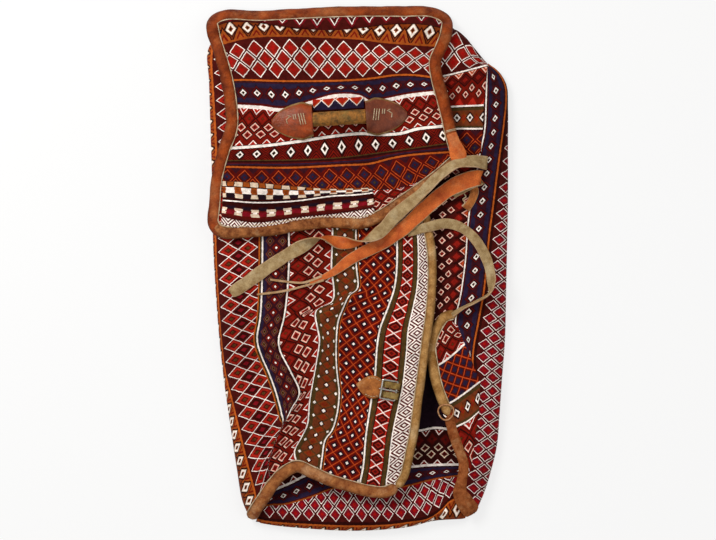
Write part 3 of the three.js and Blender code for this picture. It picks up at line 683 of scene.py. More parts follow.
# Red triangles over navy ones along the handle's strip, parted by a cream zigzag
PATTERNS["zigzag"] = ("navy", 28, 24, [
    lane("scarlet", 0.0, 0.12),
    *nest((0, 0.5), (0.1, 0.6), ("scarlet",), ("flame", 0.66, 0.86), ("cream", 0.88, 1.04)),
    lane("dark", 0.9, 1.0),
])

# Plain dark stripes
PATTERNS["shadow"] = ("plum", 40, 14, [
    lane("dark", 0.0, 0.3), lane("wine", 0.34, 0.5), lane("navy", 0.52, 0.66), lane("dark", 0.84, 1.0),
])

MATERIALS = {}


def wool(name):
    """The wool of a band or a stripe, made when it is first asked for."""
    if name not in MATERIALS:
        MATERIALS[name] = band(name, *PATTERNS[name]) if name in PATTERNS else stripe(name)
    return MATERIALS[name]


# Rubbed spots and wrinkles are larger than the patches and the grain: their counts to one of those
RUB = 0.34
WRINKLE = 0.3
# Ranges of the noise and of what it becomes: blotches, rubbed spots and pits of the grain; and the range of
# distance from the crown of rolled hide, and the painted highlight and painted shade that it becomes
BLOTCHED = (0.36, 0.66, 0.0, 1.0)
RUBBED = (0.52, 0.7, 0.0, 0.7)
PITTED = (0.0, 0.6, 1.0, 0.72)
CROWN_HIGHLIGHT_AND_SHADE = (0.06, 0.22, 1.12, 0.5)
# The wrinkles' share of the relief, and how far they roughen the hide above and below its own roughness
WRINKLE_RELIEF = 1.6
WRINKLE_ROUGHNESS = 0.3
# Place of the crown round rolled hide
CROWN = 0.25


def leather(
    name, pale, dark, worn, patches, grain=3.0, depth=0.8, roughness=0.62, shine=0.3, rolled=False,
):
    """Vegetable-tanned hide: blotched dye, a pebbled grain, wrinkles and rubbed spots.

    Grain and patches are in millimetres. Rolled hide has a painted highlight along its crown and painted
    shade along its edges, standing in for the light on its round.
    """

    def paint(tree):
        place = node(tree, "TexCoord").node.outputs["Object"]
        blotch = node(tree, "TexNoise", place, Scale=METRE / patches, Detail=5.0, Roughness=0.62)
        blotch = node(tree, "MapRange", blotch, *BLOTCHED)
        colour = node(tree, "MixRGB", blotch, linear(dark), linear(pale))
        rub = node(tree, "TexNoise", place, Scale=RUB * METRE / patches, Detail=4.0, Roughness=0.7)
        rub = node(tree, "MapRange", rub, *RUBBED)
        colour = node(tree, "MixRGB", rub, colour, linear(worn))
        pebble = node(tree, "TexVoronoi", place, Scale=METRE / grain)
        wrinkle = node(tree, "TexNoise", place, Scale=WRINKLE * METRE / grain, Detail=4.0, Distortion=1.2)
        pit = node(tree, "MapRange", pebble, *PITTED)
        colour = node(tree, "MixRGB", 0.8, colour, pit, blend_type="MULTIPLY")
        # Painted highlight along the crown and painted shade towards the edges, for the light on the round
        # of rolled hide
        if rolled:
            around = node(tree, "SeparateXYZ", node(tree, "UVMap", uv_map="band")).node.outputs[1]
            from_crown = node(tree, "Math", around, CROWN, operation="SUBTRACT")
            from_crown = node(tree, "Math", from_crown, operation="ABSOLUTE")
            painted_highlight_and_shade = node(tree, "MapRange", from_crown, *CROWN_HIGHLIGHT_AND_SHADE)
            colour = node(tree, "MixRGB", 1.0, colour, painted_highlight_and_shade, blend_type="MULTIPLY")
        height = node(tree, "Math", wrinkle, WRINKLE_RELIEF, pebble, operation="MULTIPLY_ADD")
        least = roughness - WRINKLE_ROUGHNESS / 2
        gloss = node(tree, "Math", wrinkle, WRINKLE_ROUGHNESS, least, operation="MULTIPLY_ADD")
        return colour, gloss, height

    return surface(name, paint, depth, Specular_IOR_Level=shine)


# Rolled hide of the bindings, with a painted highlight along the crown and painted shade along the edges:
# blotched brown on the upper seam, rubbed paler on the rims
ROLLED = {"shine": 0.12, "rolled": True}
SEAM_HIDE = leather("rolled_hide_brown", "#A64814", "#6A2606", "#BC7240", patches=26, **ROLLED)
RIM_HIDE = leather("rolled_hide_dull", "#B4703C", "#6C3414", "#D4A06C", patches=14, **ROLLED)
LEFT_RIM_HIDE = leather("rolled_hide_tan", "#C89658", "#94642E", "#E0BA86", patches=16, **ROLLED)
LOWER_SEAM_HIDE = leather("rolled_hide_rubbed", "#B8743E", "#864620", "#D8A474", patches=16, **ROLLED)
# Brushed hide with a nap, dull to the eye, on the lower part of the right seam
NAPPED_HIDE = leather(
    "napped_hide_red", "#B86A3A", "#84421E", "#CC9462", grain=1.6, patches=12, roughness=0.9, shine=0.06,
)
# Straps of split hide: a smooth orange grain side, a dull grey flesh side and pale cut edges
STRAP_FRONT = leather(
    "strap_hide_orange", "#F07C34", "#C05420", "#F2A060", grain=2.4, patches=30, depth=0.4, shine=0.2,
)
STRAP_BACK = leather(
    "strap_flesh_side_grey", "#CAAC7C", "#A08054", "#DCC69C", grain=2.0, patches=14,
    roughness=0.92, shine=0.08,
)
STRAP_EDGE = leather(
    "strap_cut_edge", "#D8B088", "#B08454", "#E8CCA4", grain=2.0, patches=16, depth=0.3, roughness=0.85,
)
# Stuffed grip, mottled by hands, and its two sewn pads, polished by them, with a raw rim
GRIP_HIDE = leather("grip_hide_mottled", "#BE7C34", "#5E4420", "#94763C", patches=11, depth=1.0, shine=0.2)
LEFT_PAD_HIDE = leather(
    "pad_hide_orange", "#BC4C14", "#7C3414", "#A06846", patches=26, depth=0.5, roughness=0.4,
)
RIGHT_PAD_HIDE = leather(
    "pad_hide_brown", "#94482A", "#6A2E1A", "#A06A4C", patches=24, depth=0.5, roughness=0.45,
)
PAD_RIM_HIDE = leather("pad_rim_hide", "#AC8450", "#7C562C", "#C8A470", patches=14, shine=0.15)
# Tan hide of the two tabs, and the greasy olive loops round the buckle's bar
TAB_HIDE = leather("tab_hide_tan", "#CC7C38", "#945020", "#DCA068", patches=12, depth=0.5, shine=0.2)
LOOP_HIDE = leather("loop_hide_olive", "#A88848", "#76582A", "#BCA064", patches=10, depth=0.5, shine=0.15)
# Waxed thread of the lacings, as pale as the cut edges of the bindings, and the twisted thong
FINE = {"grain": 1.5, "patches": 8, "depth": 0.3}
LACE = leather("lacing_thread_pale", "#E6CFAC", "#BC9C74", "#F2E0C4", roughness=0.85, **FINE)
THONG_HIDE = leather("thong_hide_pale", "#DCA070", "#B07446", "#E8C094", roughness=0.8, **FINE)

# Counts to a metre: a patch of tarnish is 6 mm, a scratch 1 mm
TARNISH = 160.0
SCRATCHES = 900.0
# Ranges of the noise and of what it becomes: tarnish, and the roughness that comes with it
TARNISHED = (0.48, 0.7, 0.0, 0.8)
TARNISH_ROUGHNESS = (0.0, 0.8, 0.26, 0.6)
IRON = "#C9C6BE"
IRON_BROWN = "#6E5A48"
IRON_RELIEF = 0.15


def steel_paint(tree):
    """Forged iron, tinned and worn: grey with brown tarnish in patches."""
    place = node(tree, "TexCoord").node.outputs["Object"]
    tarnish = node(tree, "TexNoise", place, Scale=TARNISH, Detail=5.0)
    tarnish = node(tree, "MapRange", tarnish, *TARNISHED)
    colour = node(tree, "MixRGB", tarnish, linear(IRON), linear(IRON_BROWN))
    roughness = node(tree, "MapRange", tarnish, *TARNISH_ROUGHNESS)
    scratch = node(tree, "TexNoise", place, Scale=SCRATCHES, Detail=2.0)
    return colour, roughness, scratch


STEEL = surface("tinned_iron_worn", steel_paint, IRON_RELIEF, Metallic=1.0)


# Meshes


def build(name, parts, materials, stands_for, body="bag"):
    """One object from parts, each with its points, faces, corners of the pattern and material numbers."""
    points, faces, corners, slots = [], [], [], []
    for part_points, part_faces, part_corners, part_slots in parts:
        start = sum(len(p) for p in points)
        points.append(np.asarray(part_points, float))
        faces.extend([tuple(int(v) + start for v in face) for face in part_faces])
        corners.append(np.asarray(part_corners, float).reshape(-1, 2))
        slots.append(np.asarray(part_slots, int))
    mesh = bpy.data.meshes.new(name)
    mesh.from_pydata((np.vstack(points) * MM).tolist(), [], faces)
    pattern = mesh.uv_layers.new(name="band")
    pattern.data.foreach_set("uv", np.vstack(corners).astype(np.float32).ravel())
    for material in materials:
        mesh.materials.append(material)
    mesh.polygons.foreach_set("material_index", np.concatenate(slots).astype(np.int32))
    mesh.shade_smooth()
    mesh.update()
    piece = bpy.data.objects.new(name, mesh)
    bpy.context.scene.collection.objects.link(piece)
    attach(piece, body)
    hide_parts(*stands_for)
    return piece


def hide_piece(name, parts, hides):
    """A leather piece that stands for its node."""
    return build(name + "_hide", parts, hides, stands_for=[name])


def thick_grid(points, slots, along, low, high, thick=CLOTH):
    """A closed sheet around a grid of points: each column has a material and its share of the band."""
    rows, columns = points.shape[:2]
    normal = np.cross(np.gradient(points, axis=1), np.gradient(points, axis=0))
    normal = normal / np.maximum(np.linalg.norm(normal, axis=-1, keepdims=True), 1e-9)
    front, back = points + normal * thick / 2, points - normal * thick / 2
    both = np.concatenate([front.reshape(-1, 3), back.reshape(-1, 3)])
    index = np.arange(rows * columns).reshape(rows, columns)
    under = rows * columns
    a, b, c, d = index[:-1, :-1], index[:-1, 1:], index[1:, 1:], index[1:, :-1]
    top = np.stack([a, b, c, d], -1).reshape(-1, 4)
    bottom = np.stack([a, d, c, b], -1).reshape(-1, 4) + under
    low, high = np.broadcast_to(low, along.shape), np.broadcast_to(high, along.shape)
    u0, u1 = along[:-1], along[1:]
    near_low, near_high, far_low, far_high = low[:-1], high[:-1], low[1:], high[1:]
    top_order = ((u0, near_low), (u0, near_high), (u1, far_high), (u1, far_low))
    bottom_order = ((u0, near_low), (u1, far_low), (u1, far_high), (u0, near_high))
    top_corners = np.stack([np.stack(p, -1) for p in top_order], -2)
    bottom_corners = np.stack([np.stack(p, -1) for p in bottom_order], -2)
    face_slots = np.broadcast_to(slots, u0.shape).ravel()
    rim = np.concatenate([index[0, :], index[1:, -1], index[-1, -2::-1], index[-2:0:-1, 0]])
    rim_next = np.roll(rim, -1)
    side = np.stack([rim_next, rim, rim + under, rim_next + under], -1)
    near = np.clip(rim % columns, 0, columns - 2)
    row = np.clip(rim // columns, 0, rows - 2)
    side_spot = np.stack([along[row, near], low[row, near]], -1)
    side_corners = np.repeat(side_spot[:, None], 4, 1)
    faces = np.concatenate([top, bottom, side])
    corners = np.concatenate([c.reshape(-1, 2) for c in (top_corners, bottom_corners, side_corners)])
    return both, faces, corners, np.concatenate([face_slots, face_slots, np.asarray(slots)[near]])


def pattern_share(share, wide, wool_name, anchor):
    """Place across a band's pattern at a share of the band, whose width changes along it.

    A spread or turned pattern fills the band. Others keep their size, counted from its start or its end.
    """
    if anchor == "spread":
        return np.full_like(wide, share)
    if anchor == "turned":
        return np.full_like(wide, 1 - share)
    size = np.minimum(wide / PATTERNS[wool_name][2], 1.0)
    if anchor == "from_start":
        return share * size
    if anchor == "from_end":
        return (1 - share) * size
    return 1 - (1 - share) * size


# Gaps over which a pinched band opens, the weaver's slips of a line and the least width of a stripe
PINCH = (5.0, 12.0)
LINE_SLIP = 0.35
LEAST_STRIPE = 0.03


def weave(edges, bands, lines, rows, height, names, lift=0.0, pinched=None, hem=None):
    """Cloth of bands between lines of the plan, with narrow stripes along the lines between two bands.

    A band is a wool, a number of columns and the anchor of its pattern; a stripe is a wool and a width.
    The stripes beside a pinched band close where that band does. A hem is the level of the first line.
    """
    spots = np.stack([evenly(plan(edge), rows)[0] for edge in edges], 1)
    reach = np.stack([length_along(row) for row in spots])
    fences, parts = [reach[:, 0]], []
    for place, (wool_name, columns, anchor) in enumerate(bands):
        line = lines[place] if place < len(lines) else []
        opened = np.ones(rows)
        if pinched in (place, place + 1):
            opened = ease(distance_from(edges[pinched])(spots[:, pinched + 1]), *PINCH)
        total = opened * sum(width for _, width in line)
        start = reach[:, place + 1] - total / 2 if place + 1 < len(edges) - 1 else reach[:, place + 1]
        fences.append(start)
        parts.append((wool_name, columns, anchor))
        for stripe_name, width in line:
            start = start + width * opened
            fences.append(start)
            parts.append((stripe_name, 1, "spread"))
    fences = np.stack(fences, 1)
    row_places, line_places = np.arange(rows)[:, None], np.arange(fences.shape[1] - 2)[None]
    quick = np.sin(row_places * 2.3 + line_places * 4.1)
    slow = np.sin(row_places * 0.37 + line_places)
    fences[:, 1:-1] += LINE_SLIP * quick * slow
    for place in range(1, fences.shape[1]):
        fences[:, place] = np.maximum(fences[:, place], fences[:, place - 1] + LEAST_STRIPE)
    fences = fences * (reach[:, -1:] / fences[:, -1:])
    marks, slots, low, high = [fences[:, 0]], [], [], []
    owner = []
    for place, (wool_name, columns, anchor) in enumerate(parts):
        if wool_name not in names:
            names.append(wool_name)
        wide = fences[:, place + 1] - fences[:, place]
        for step in range(columns):
            share = (step + 1) / columns
            marks.append(fences[:, place] * (1 - share) + fences[:, place + 1] * share)
            low.append(pattern_share(step / columns, wide, wool_name, anchor))
            high.append(pattern_share(share, wide, wool_name, anchor))
            slots.append(names.index(wool_name))
            owner.append(place)
    marks = np.stack(marks, 1)
    flat = np.zeros(marks.shape + (2,))
    for row in range(rows):
        for axis in range(2):
            flat[row, :, axis] = np.interp(marks[row], reach[row], spots[row, :, axis])
    along = []
    for place in range(len(parts)):
        own = [i for i, o in enumerate(owner) if o == place]
        middle = (flat[:, own[0]] + flat[:, own[-1] + 1]) / 2
        along.extend([length_along(middle) * MM] * len(own))
    points = np.concatenate([flat, (height(flat) + lift)[..., None]], -1)
    if hem is not None:
        points[:, 0, 2] = hem
    return thick_grid(points, slots, np.stack(along, 1), np.stack(low, 1), np.stack(high, 1))


def sides_of(path):
    """Level direction across a path at each point, kept from point to point where the path turns back."""
    run = np.gradient(path, axis=0)
    run = run / np.linalg.norm(run, axis=1, keepdims=True)
    sides = []
    for step in run:
        level = np.cross(step, (0, 0, 1))
        if sides and np.linalg.norm(level) < 0.3:
            level = sides[-1] - step * (sides[-1] @ step)
        if sides and level @ sides[-1] < 0:
            level = -level
        sides.append(level / np.linalg.norm(level))
    return run, np.array(sides)


def sweep(path, side, up, sections, slots, caps=(0, 0)):
    """A closed body along a path: each section is a ring of places across and up."""
    rings, count = sections.shape[:2]
    points = path[:, None] + sections[..., :1] * side[:, None] + sections[..., 1:] * up[:, None]
    index = np.arange(rings * count).reshape(rings, count)
    after = np.roll(index, -1, axis=1)
    faces = np.stack([index[:-1], after[:-1], after[1:], index[1:]], -1).reshape(-1, 4)
    along = length_along(path) * MM
    u0 = np.repeat(along[:-1, None], count, 1)
    u1 = np.repeat(along[1:, None], count, 1)
    v0 = np.broadcast_to(np.arange(count) / count, u0.shape)
    v1 = v0 + 1 / count
    order = ((u0, v0), (u0, v1), (u1, v1), (u1, v0))
    corners = np.stack([np.stack(p, -1) for p in order], -2).reshape(-1, 2)
    ends = [tuple(index[0][::-1]), tuple(index[-1])]
    end_corners = np.zeros((2 * count, 2))
    face_slots = np.tile(np.asarray(slots), rings - 1)
    all_faces = [tuple(face) for face in faces] + ends
    corners = np.concatenate([corners, end_corners])
    return points.reshape(-1, 3), all_faces, corners, np.concatenate([face_slots, caps])


def unevenness(along, around, seed):
    """Smooth lumps of hand-rolled leather, from -1 to 1."""
    slow = np.sin(along / 31 + seed) * np.cos(around + along / 57 + 2 * seed)
    middle = np.sin(along / 13.7 + 3 * seed) * np.cos(2 * around + along / 23 + seed)
    fine = np.sin(along / 5.9 + 5 * seed) * np.cos(3 * around - along / 11 + seed)
    return 0.5 * slow + 0.32 * middle + 0.18 * fine


def ring_angles(count):
    """Angles of evenly spaced places round a ring."""
    return np.arange(count) * 2 * np.pi / count


def bead(start, end, radius, arch=0.0, sides=6):
    """One stitch: a short thread between two places, arched in its middle."""
    start, end = np.array(start, float), np.array(end, float)
    shares = np.array([0.0, 0.12, 0.5, 0.88, 1.0])
    path = start + (end - start) * shares[:, None]
    path[:, 2] += arch * 4 * shares * (1 - shares)
    run, side = sides_of(path)
    up = np.cross(side, run)
    angles = ring_angles(sides)
    ring = np.stack([np.cos(angles), np.sin(angles)], -1)
    thick = radius * np.array([0.35, 0.9, 1.0, 0.9, 0.35])
    return sweep(path, side, up, ring[None] * thick[:, None, None], [0] * sides)


def in_slot(part, slot):
    """The same part in another material of its object."""
    return (*part[:3], np.full(len(part[3]), slot))


def tube(path, radius, closed=False, sides=12):
    """A round bar along a path."""
    path = np.asarray(path, float)
    if not closed:
        run, side = sides_of(path)
        up = np.cross(side, run)
        ring = ring_angles(sides)
        section = np.stack([np.cos(ring), np.sin(ring)], -1)[None] * np.asarray(radius).reshape(-1, 1, 1)
        section = np.broadcast_to(section, (len(path), sides, 2))
        return sweep(path, side, up, section, [0] * sides)
    run = np.roll(path, -1, 0) - np.roll(path, 1, 0)
    run = run / np.linalg.norm(run, axis=1, keepdims=True)
    flat_axis = np.cross(run[0], run[len(path) // 4])
    flat_axis = flat_axis / np.linalg.norm(flat_axis)
    side = np.cross(run, flat_axis)
    angle = ring_angles(sides)
    out = np.cos(angle)[None, :, None] * side[:, None] + np.sin(angle)[None, :, None] * flat_axis
    points = path[:, None] + radius * out
    index = np.arange(len(path) * sides).reshape(len(path), sides)
    onward = np.roll(index, -1, 0)
    quads = np.stack([index, onward, np.roll(onward, -1, 1), np.roll(index, -1, 1)], -1)
    faces = quads.reshape(-1, 4)[:, ::-1]
    return points.reshape(-1, 3), faces, np.zeros((4 * len(faces), 2)), [0] * len(faces)


# Bindings: steps along, sides, tilt in radians, where the flared end begins and ends, and the cut edge
BINDING_STEP = 4.0
BINDING_SIDES = 18
MOST_TILT = 0.8
FLARE = (90.0, 25.0)
CUT_EDGE = 1.0
FLOOR_GAP = 0.3
# Rolled hide: its width, its thickness and its ends, each with what lumps or a round end add
LUMPY_WIDTH = (0.96, 0.11)
LUMPY_THICK = (0.94, 0.16)
ROUND_END = (0.45, 0.55)
# Place of the cut edge, in shares of the half width and of the thickness, and its uneven thickness
EDGE_PLACE = (0.9, 0.27)
EDGE_UNEVEN = 0.3
EDGE_SWELL = 5


def binding(pixels, height, material, seed, lift=0.0, inner_side=1, wide=BINDING_WIDTH, flare=1.0):
    """Leather rolled over an edge of the cloth and tilted with its slope, with a pale cut edge inside."""
    line = plan(pixels)
    count = int(length_along(line)[-1] / BINDING_STEP) + 2
    flat, _ = evenly(line, count)
    run = np.gradient(np.concatenate([flat, np.zeros((count, 1))], 1), axis=0)
    run = run / np.linalg.norm(run, axis=1, keepdims=True)
    side = np.cross(run, (0, 0, 1)) * inner_side
    along = length_along(flat)
    flared = ease(along, along[-1] - FLARE[0], along[-1] - FLARE[1])
    half = wide / 2 * (1 + (flare - 1) * flared)
    level = np.maximum(height(flat), BINDING_THICK / 2) + lift
    inner_level = height(flat + side[:, :2] * half[:, None]) + lift
    tilt = np.clip(np.arctan2(inner_level - level, half), 0.0, MOST_TILT)
    spread = 1 / np.cos(tilt)
    level = np.maximum(level, inner_level - half * spread * np.sin(tilt))
    path = np.concatenate([flat, level[:, None]], 1)
    up = np.array((0.0, 0.0, 1.0))
    side, up = (
        side * np.cos(tilt)[:, None] + up * np.sin(tilt)[:, None],
        up * np.cos(tilt)[:, None] - side * np.sin(tilt)[:, None],
    )
    angles = ring_angles(BINDING_SIDES)
    lump = unevenness(along[:, None], angles[None], seed)
    round_end = shoulder(np.minimum(along, along[-1] - along) + 1.0, BINDING_WIDTH / 2)
    across = (half * spread)[:, None] * (LUMPY_WIDTH[0] + LUMPY_WIDTH[1] * lump) * round_end[:, None]
    tall = BINDING_THICK / 2 * (LUMPY_THICK[0] + LUMPY_THICK[1] * lump)
    tall = tall * (ROUND_END[0] + ROUND_END[1] * round_end[:, None])
    sections = np.stack([np.cos(angles) * across, np.sin(angles) * tall], -1)
    body = sweep(path, side * inner_side, up, sections * (inner_side, 1), [0] * BINDING_SIDES)
    if inner_side < 0:
        body = (body[0], [face[::-1] for face in body[1]], *body[2:])
    body[0][:, 2] = np.maximum(body[0][:, 2], FLOOR_GAP)
    edge = path + side * (half * spread * EDGE_PLACE[0] * round_end)[:, None]
    edge = edge + up * BINDING_THICK * EDGE_PLACE[1]
    edge_radius = CUT_EDGE * (1 + EDGE_UNEVEN * np.sin(along[2:-2] / EDGE_SWELL + seed))
    edge[:, 2] = np.maximum(edge[:, 2], 2 * CUT_EDGE + FLOOR_GAP)
    return [body, in_slot(tube(edge[2:-2], edge_radius, sides=6), 1)], [material, LACE]


def bind(name, *settings, **options):
    """A binding that stands for its node."""
    parts, materials = binding(*settings, **options)
    hide_piece(name, parts, materials)


# Straps: step along, columns across, where the pale edge begins, its material and the rounded tip
STRAP_STEP = 4.0
STRAP_COLUMNS = 10
PALE_FROM = 0.9
PALE_SLOT = 2
STRAP_TIP = (0.94, 0.86, 0.7)
# Uneven cutting of a strap, in shares of its width and millimetres along, and the length of its curl
SLOW_UNEVEN = (0.035, 17)
QUICK_UNEVEN = (0.025, 7.3)
CURL_LENGTH = 60
# Thickness of a strap at its cut edges and inside them
EDGE_THICK = 0.55
INNER_THICK = 0.92


def strap_part(stations, width, seed, curl=1.2, front=0, back=1, wider=None):
    """A flat strap through stations: a place in the picture, a layer's height, a lift and a roll."""
    flat = plan([(x, y) for x, y, *_ in stations])
    levels = [height(spot[None])[0] + lift for spot, (_, _, height, lift, _) in zip(flat, stations)]
    spots = np.concatenate([flat, np.array(levels)[:, None]], 1)
    length = length_along(smooth_line(spots)[0])[-1]
    path, passed = evenly(spots, int(length / STRAP_STEP) + 2)
    run, side = sides_of(path)
    roll = np.radians(np.interp(passed, np.arange(len(stations)), [s[4] for s in stations]))[:, None]
    up = np.cross(side, run)
    side = side * np.cos(roll) + np.cross(run, side) * np.sin(roll)
    up = up * np.cos(roll) + np.cross(run, up) * np.sin(roll)
    along = length_along(path)
    shares = np.array([-1, *np.linspace(-PALE_FROM, PALE_FROM, STRAP_COLUMNS - 1), 1])
    slow = SLOW_UNEVEN[0] * np.sin(along / SLOW_UNEVEN[1] + seed)
    quick = QUICK_UNEVEN[0] * np.sin(along / QUICK_UNEVEN[1] + 2 * seed)
    shares_wide = np.interp(passed, np.arange(len(stations)), wider or [1.0] * len(stations))
    half = width / 2 * (1 + slow + quick) * shares_wide
    half[-3:] = half[-3:] * STRAP_TIP
    bow = curl * (shares ** 2)[None] * np.sin(along / CURL_LENGTH + seed)[:, None]
    body = STRAP_THICK / 2 * np.where(np.abs(shares) > PALE_FROM, EDGE_THICK, INNER_THICK)
    top = np.stack([half[:, None] * shares[None], bow + body], -1)
    bottom = np.stack([half[:, None] * shares[None, ::-1], bow[:, ::-1] - body[::-1]], -1)
    sections = np.concatenate([bottom, top], 1)[:, ::-1]
    inner = STRAP_COLUMNS - 2
    slots = [PALE_SLOT, *[front] * inner, *[PALE_SLOT] * 3, *[back] * inner, *[PALE_SLOT] * 2]
    return sweep(path, -side, up, sections, slots, caps=(PALE_SLOT, PALE_SLOT))


# Lift of a strap's middle over the middle of bare cloth, of a swollen wall and of a binding
ON_CLOTH = SOLID_CLOTH / 2 + GAP + STRAP_THICK / 2
ON_WALL = ON_CLOTH + 0.5
ON_RIM = ON_CLOTH + BINDING_THICK / 2 - SOLID_CLOTH / 2 + 0.5

# Camera and light: strength of the world, the paper's own share of white and half the floor in metres
WORLD_LIGHT = 0.48
PAPER_GLOW = 0.72
FLOOR = 6.0

lens = SENSOR * (CAMERA_HEIGHT - BAG_MIDDLE_HEIGHT) / (PICTURE[0] * PIXEL)
camera_data = bpy.data.cameras.new("camera")
camera_data.sensor_width = SENSOR
camera_data.lens = lens
camera = bpy.data.objects.new("camera", camera_data)
bpy.context.scene.collection.objects.link(camera)
centre = plan([(PICTURE[0] / 2, PICTURE[1] / 2)])[0]
camera.location = (centre[0] * MM, centre[1] * MM, CAMERA_HEIGHT * MM)
bpy.context.scene.camera = camera
bpy.context.scene.view_settings.view_transform = "Standard"

world = bpy.data.worlds.new("studio")
world.use_nodes = True
bpy.context.scene.world = world
world.node_tree.nodes["Background"].inputs["Color"].default_value = (1, 1, 1, 1)
world.node_tree.nodes["Background"].inputs["Strength"].default_value = WORLD_LIGHT


def lamp(name, place, power, size):
    """A square area lamp, in watts and metres, aimed at the middle of the bag."""
    data = bpy.data.lights.new(name, "AREA")
    data.energy = power
    data.size = size
    made = bpy.data.objects.new(name, data)
    bpy.context.scene.collection.objects.link(made)
    made.location = place
    aim = -made.location
    made.rotation_euler = aim.to_track_quat("-Z", "Y").to_euler()


lamp("key_lamp", (-1.7, 1.5, 2.3), 60.0, 1.1)
lamp("fill_lamp", (1.9, -0.8, 2.6), 13.0, 2.0)


def floor_material():
    """Matt white studio paper: it stays white to the eye and keeps the bag's shadow."""
    material = bpy.data.materials.new("studio_paper_matt")
    material.use_nodes = True
    tree = material.node_tree
    tree.nodes.remove(tree.nodes["Principled BSDF"])
    seen = node(tree, "LightPath").node.outputs
    direct = node(tree, "Math", seen["Is Camera Ray"], seen["Is Glossy Ray"], operation="MAXIMUM")
    direct = node(tree, "Math", direct, seen["Is Transmission Ray"], operation="MAXIMUM")
    share = node(tree, "Math", direct, PAPER_GLOW, operation="MULTIPLY")
    paper = node(tree, "BsdfDiffuse", linear("#F4F3F1"))
    white = node(tree, "Emission", (1, 1, 1, 1), 1.0)
    both = node(tree, "MixShader", share, paper, white)
    tree.links.new(both, tree.nodes["Material Output"].inputs["Surface"])
    return material


floor_mesh = bpy.data.meshes.new("floor")
floor_corners = [(-FLOOR, -FLOOR, 0), (FLOOR, -FLOOR, 0), (FLOOR, FLOOR, 0), (-FLOOR, FLOOR, 0)]
floor_mesh.from_pydata(floor_corners, [], [(0, 1, 2, 3)])
floor_mesh.materials.append(floor_material())
floor = bpy.data.objects.new("floor", floor_mesh)
bpy.context.scene.collection.objects.link(floor)


def cloth_piece(name, parts, stands_for):
    """A panel of the wools whose names were listed while its parts were woven."""
    return build(name, parts, [wool(n) for n in names], stands_for=[stands_for])


# Rows of points along each cloth
WALL_ROWS = 230
UPPER_ROWS = 130
PATCH_ROWS = 80
LOWER_ROWS = 120
FRONT_ROWS = 90
UPPER_CORNER_ROWS = 60
LOWER_CORNER_ROWS = 40
BASE_ROWS = 90

# Stripes that run along the lines between two bands
WHITE = [("black", 1.4), ("cream", 3.2), ("black", 1.6)]

# Left wall: lines between its bands, from the lower end up
LEFT_LINES = [
    LEFT_SIDE_FOLD,
    [
        (257, 507), (256, 495), (249, 468), (241, 435), (233, 402), (226, 375), (222, 345), (218.5, 300),
        (216.5, 260), (216, 232), (217, 200), (217.5, 165), (216, 130), (213.5, 90), (212, 60), (214, 45),
        (222, 34),
    ],
    [
        (271, 488), (269, 476), (268, 464), (272, 450), (277, 436), (283, 422), (281, 413), (275, 391),
        (268, 372), (261, 356), (256.6, 339), (259.6, 318), (261, 296), (262, 237), (262, 140), (262, 33),
    ],
    [
        (273, 484), (270, 476), (269, 464), (273, 450), (278, 436), (285, 422), (292, 408), (299.7, 393),
        (291, 372), (280, 350), (279, 339), (284, 318), (287, 296), (289, 265), (289, 233), (289, 140),
        (289, 32),
    ],
    [
        (300, 468.5), (297, 461), (295, 451), (302, 437), (308, 424), (310, 402), (313, 383), (317, 361),
        (320, 339), (317, 323), (317, 310), (333, 301), (332, 266), (333, 238), (333, 140), (333, 31),
    ],
    [
        (321, 476.5), (321, 473), (323, 457), (326, 440), (333, 430), (338, 413), (340, 392), (339, 383),
        (337, 361), (338, 328), (340, 318), (350, 296), (358, 289), (357, 263), (357, 140), (357, 30),
    ],
    [
        (361, 488.5), (361, 483), (364, 468), (367, 435), (372, 402), (376, 376), (378, 347), (381, 329),
        (390, 305), (396, 285), (398, 244), (392, 180), (386, 120), (384, 30),
    ],
    [
        (385, 494), (385, 482), (387, 468), (391, 435), (398, 402), (401, 388), (405, 353), (407, 329),
        (411, 311), (416, 285), (416, 232), (408, 180), (399, 120), (396, 30),
    ],
    LEFT_RIM,
]
LEFT_BANDS = [
    ("rust", 6, "from_end"), ("net", 22, "from_start"), ("dots", 12, "spread"), ("gems", 20, "to_end"),
    ("seeds", 12, "spread"), ("cells", 18, "spread"), ("crosses", 10, "spread"), ("nested", 8, "spread"),
]
LEFT_STRIPES = [
    [("orange", 4.4), ("maroon", 2.0)], [("orange", 2.4), ("olive", 2.4), *WHITE, ("navy", 2.0)], WHITE,
    [("crimson", 1.6), ("cream", 3.2), ("black", 1.2), ("olive", 2.6)],
    [("olive", 1.6), ("cream", 2.8), ("black", 2.4), ("ember", 2.4)],
    [("black", 1.6), ("cream", 3.4), ("black", 1.0), ("olive", 4.6)],
    [("olive", 4.4), ("black", 1.2), ("cream", 2.8)],
]
names = []
left_cloth = weave(
    LEFT_LINES, LEFT_BANDS, LEFT_STRIPES, WALL_ROWS, left_height, names, pinched=2, hem=HEM_LEVEL,
)
left_wall = cloth_piece("left_wall_cloth", [left_cloth], "left_wall")

